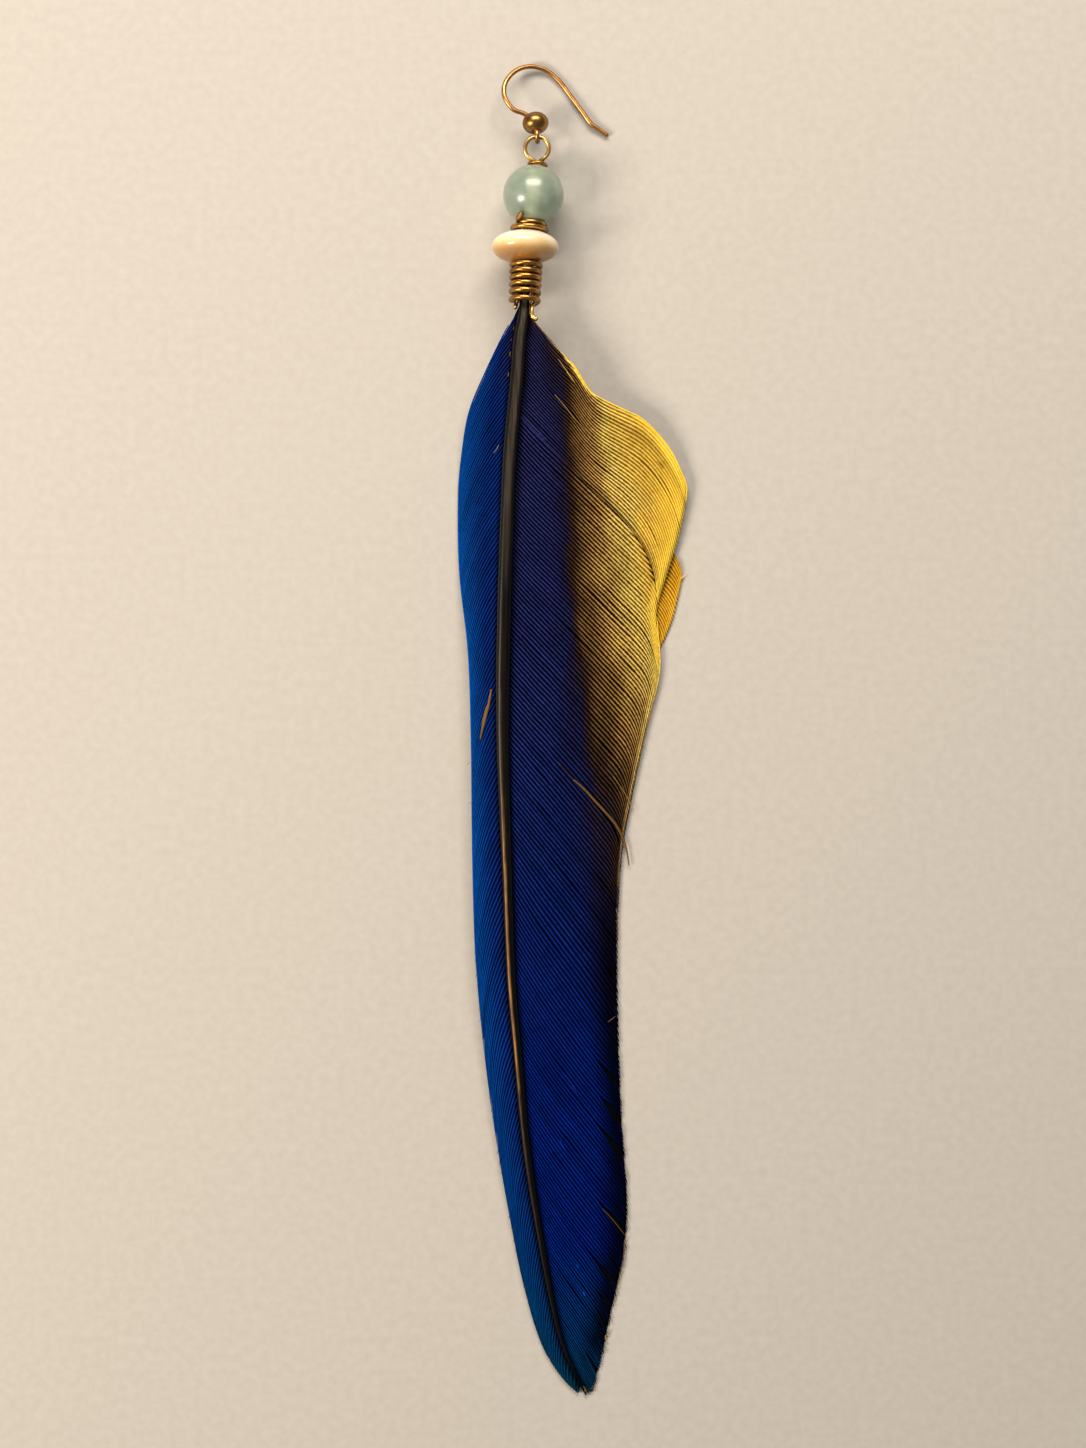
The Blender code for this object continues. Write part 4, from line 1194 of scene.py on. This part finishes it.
def makeEyeWire():
    eye = eyeWire
    left = [centre - Vector((offset, 0, 0)) for centre, offset in eye["legs"]] + eye["leftEnd"]
    right = [centre + Vector((offset, 0, 0)) for centre, offset in eye["legs"]] + eye["rightEnd"]
    loop = []
    for index in range(49):
        angle = math.radians(180 - eye["arcEnd"] - (180 - 2 * eye["arcEnd"]) * index / 48)
        loop.append(eye["centre"] + Vector((math.cos(angle), math.sin(angle), 0)) * eye["radius"])
    path = smoothPath(left[::-1], 5) + loop + smoothPath(right, 5)
    settle(makeWire("eye_and_legs", path, eye["wire"], 14, eyeBrass), "drop", "eye_wire")


makeEyeWire()

# The hook lies in one sloping plane through the ball's centre.
earHook = {
    "ball": Vector((-4.92, 79.81, 2.95)), "slopeX": -0.311, "slopeY": -0.272, "wire": 0.32,
    "plan": [(-6.2, 80.9), (-7.88, 81.6), (-8.98, 83.3), (-8.84, 85.2), (-7.48, 86.85), (-5.57, 87.5),
             (-3.46, 87.03), (-1.76, 85.6), (-0.38, 83.8), (1.13, 81.75), (2.37, 80.05), (3.38, 79.35),
             (4.51, 78.55)],
    "loopRadius": 0.78, "loopPlay": 0.1, "loopStart": 55.0, "loopEnd": 318.0,
    "ballRadius": 1.72, "ballHalf": 1.48,
}


def makeEarHook():
    hook = earHook
    eyeTop = eyeWire["centre"] + Vector((0, eyeWire["radius"], 0))
    toBall = (hook["ball"] - eyeTop).normalized()
    centre = eyeTop + toBall * hook["loopPlay"]
    side = Vector((1, 0, 0)).cross(toBall).normalized()
    loop = []
    for index in range(37):
        angle = math.radians(hook["loopEnd"] + (hook["loopStart"] - hook["loopEnd"]) * index / 36)
        loop.append(centre + (toBall * math.cos(angle) + side * math.sin(angle)) * hook["loopRadius"])
    ball = hook["ball"]
    plan = [Vector((x, y, ball.z + hook["slopeX"] * (x - ball.x) + hook["slopeY"] * (y - ball.y)))
            for x, y in hook["plan"]]
    stem = [loop[-1], centre + toBall * 1.1 + side * 0.15, ball]
    path = loop[:-1] + smoothPath(stem + plan, 8)
    settle(makeWire("ear_hook", path, hook["wire"], 16, hookBronze), "hook", "ear_wire")
    # the ball, a sphere a little flattened along the wire, with dimpled ends
    profile = []
    for index in range(49):
        angle = math.pi / 2 - math.pi * index / 48
        radius = hook["ballRadius"] * math.cos(angle)
        dimple = 0.22 * math.exp(-((radius / 0.5) ** 2))
        profile.append((max(radius, 0.02), math.copysign(hook["ballHalf"] * abs(math.sin(angle)) - dimple,
                                                         math.sin(angle))))
    settle(makeTurned("ball", profile, ball, toBall, 72, [ballBrass]), "hook", "hook_ball")


makeEarHook()
print("wires and beads made")


def makeFloor():
    bpy.ops.mesh.primitive_plane_add(size=6.0)
    floor = bpy.context.object
    floor.name = "floor"
    material, shader = newMaterial("matt_paper_sweep", 0.8)
    place = addNode(material, "TexCoord", output="Object")
    pulp = addNode(material, "TexNoise", {"Vector": place, "Scale": 900.0, "Detail": 4.0})
    ramp = addNode(material, "ValToRGB", {"Fac": pulp},
                   stops=[(0.3, "#b9b3ab"), (0.7, "#bfbab2")])
    feed(shader, "Base Color", ramp)
    floor.data.materials.append(material)


def addLight(name, place, target, size, power, colour):
    light = bpy.data.lights.new(name, "AREA")
    light.shape = "RECTANGLE"
    light.size, light.size_y = size
    light.energy = power
    light.color = linear(colour)[:3]
    holder = bpy.data.objects.new(name, light)
    holder.location = place
    holder.rotation_euler = (Vector(target) - Vector(place)).to_track_quat("-Z", "Y").to_euler()
    scene.collection.objects.link(holder)


makeFloor()
addLight("softbox_top", (0.0, 0.42, 0.36), (0.0, 0.0, 0.0), (0.45, 0.2), 3.55, "#fff4e6")
addLight("softbox_left", (-0.4, -0.08, 0.34), (0.0, 0.0, 0.0), (0.14, 0.22), 2.6, "#fff2e0")
world = bpy.data.worlds.new("studio")
world.use_nodes = True
world.node_tree.nodes["Background"].inputs["Color"].default_value = linear("#e8ebf0")
world.node_tree.nodes["Background"].inputs["Strength"].default_value = 0.2
scene.world = world
scene.view_settings.view_transform = "Standard"

camera = bpy.data.objects.new("camera", bpy.data.cameras.new("camera"))
camera.location = (-0.00393, 0.00085, 0.604)   # straight above, 600 mm over the feather's mean height
camera.data.lens = 113.74                       # a frame 189.9 mm tall at that height
camera.data.clip_start = 0.01
scene.collection.objects.link(camera)
scene.camera = camera
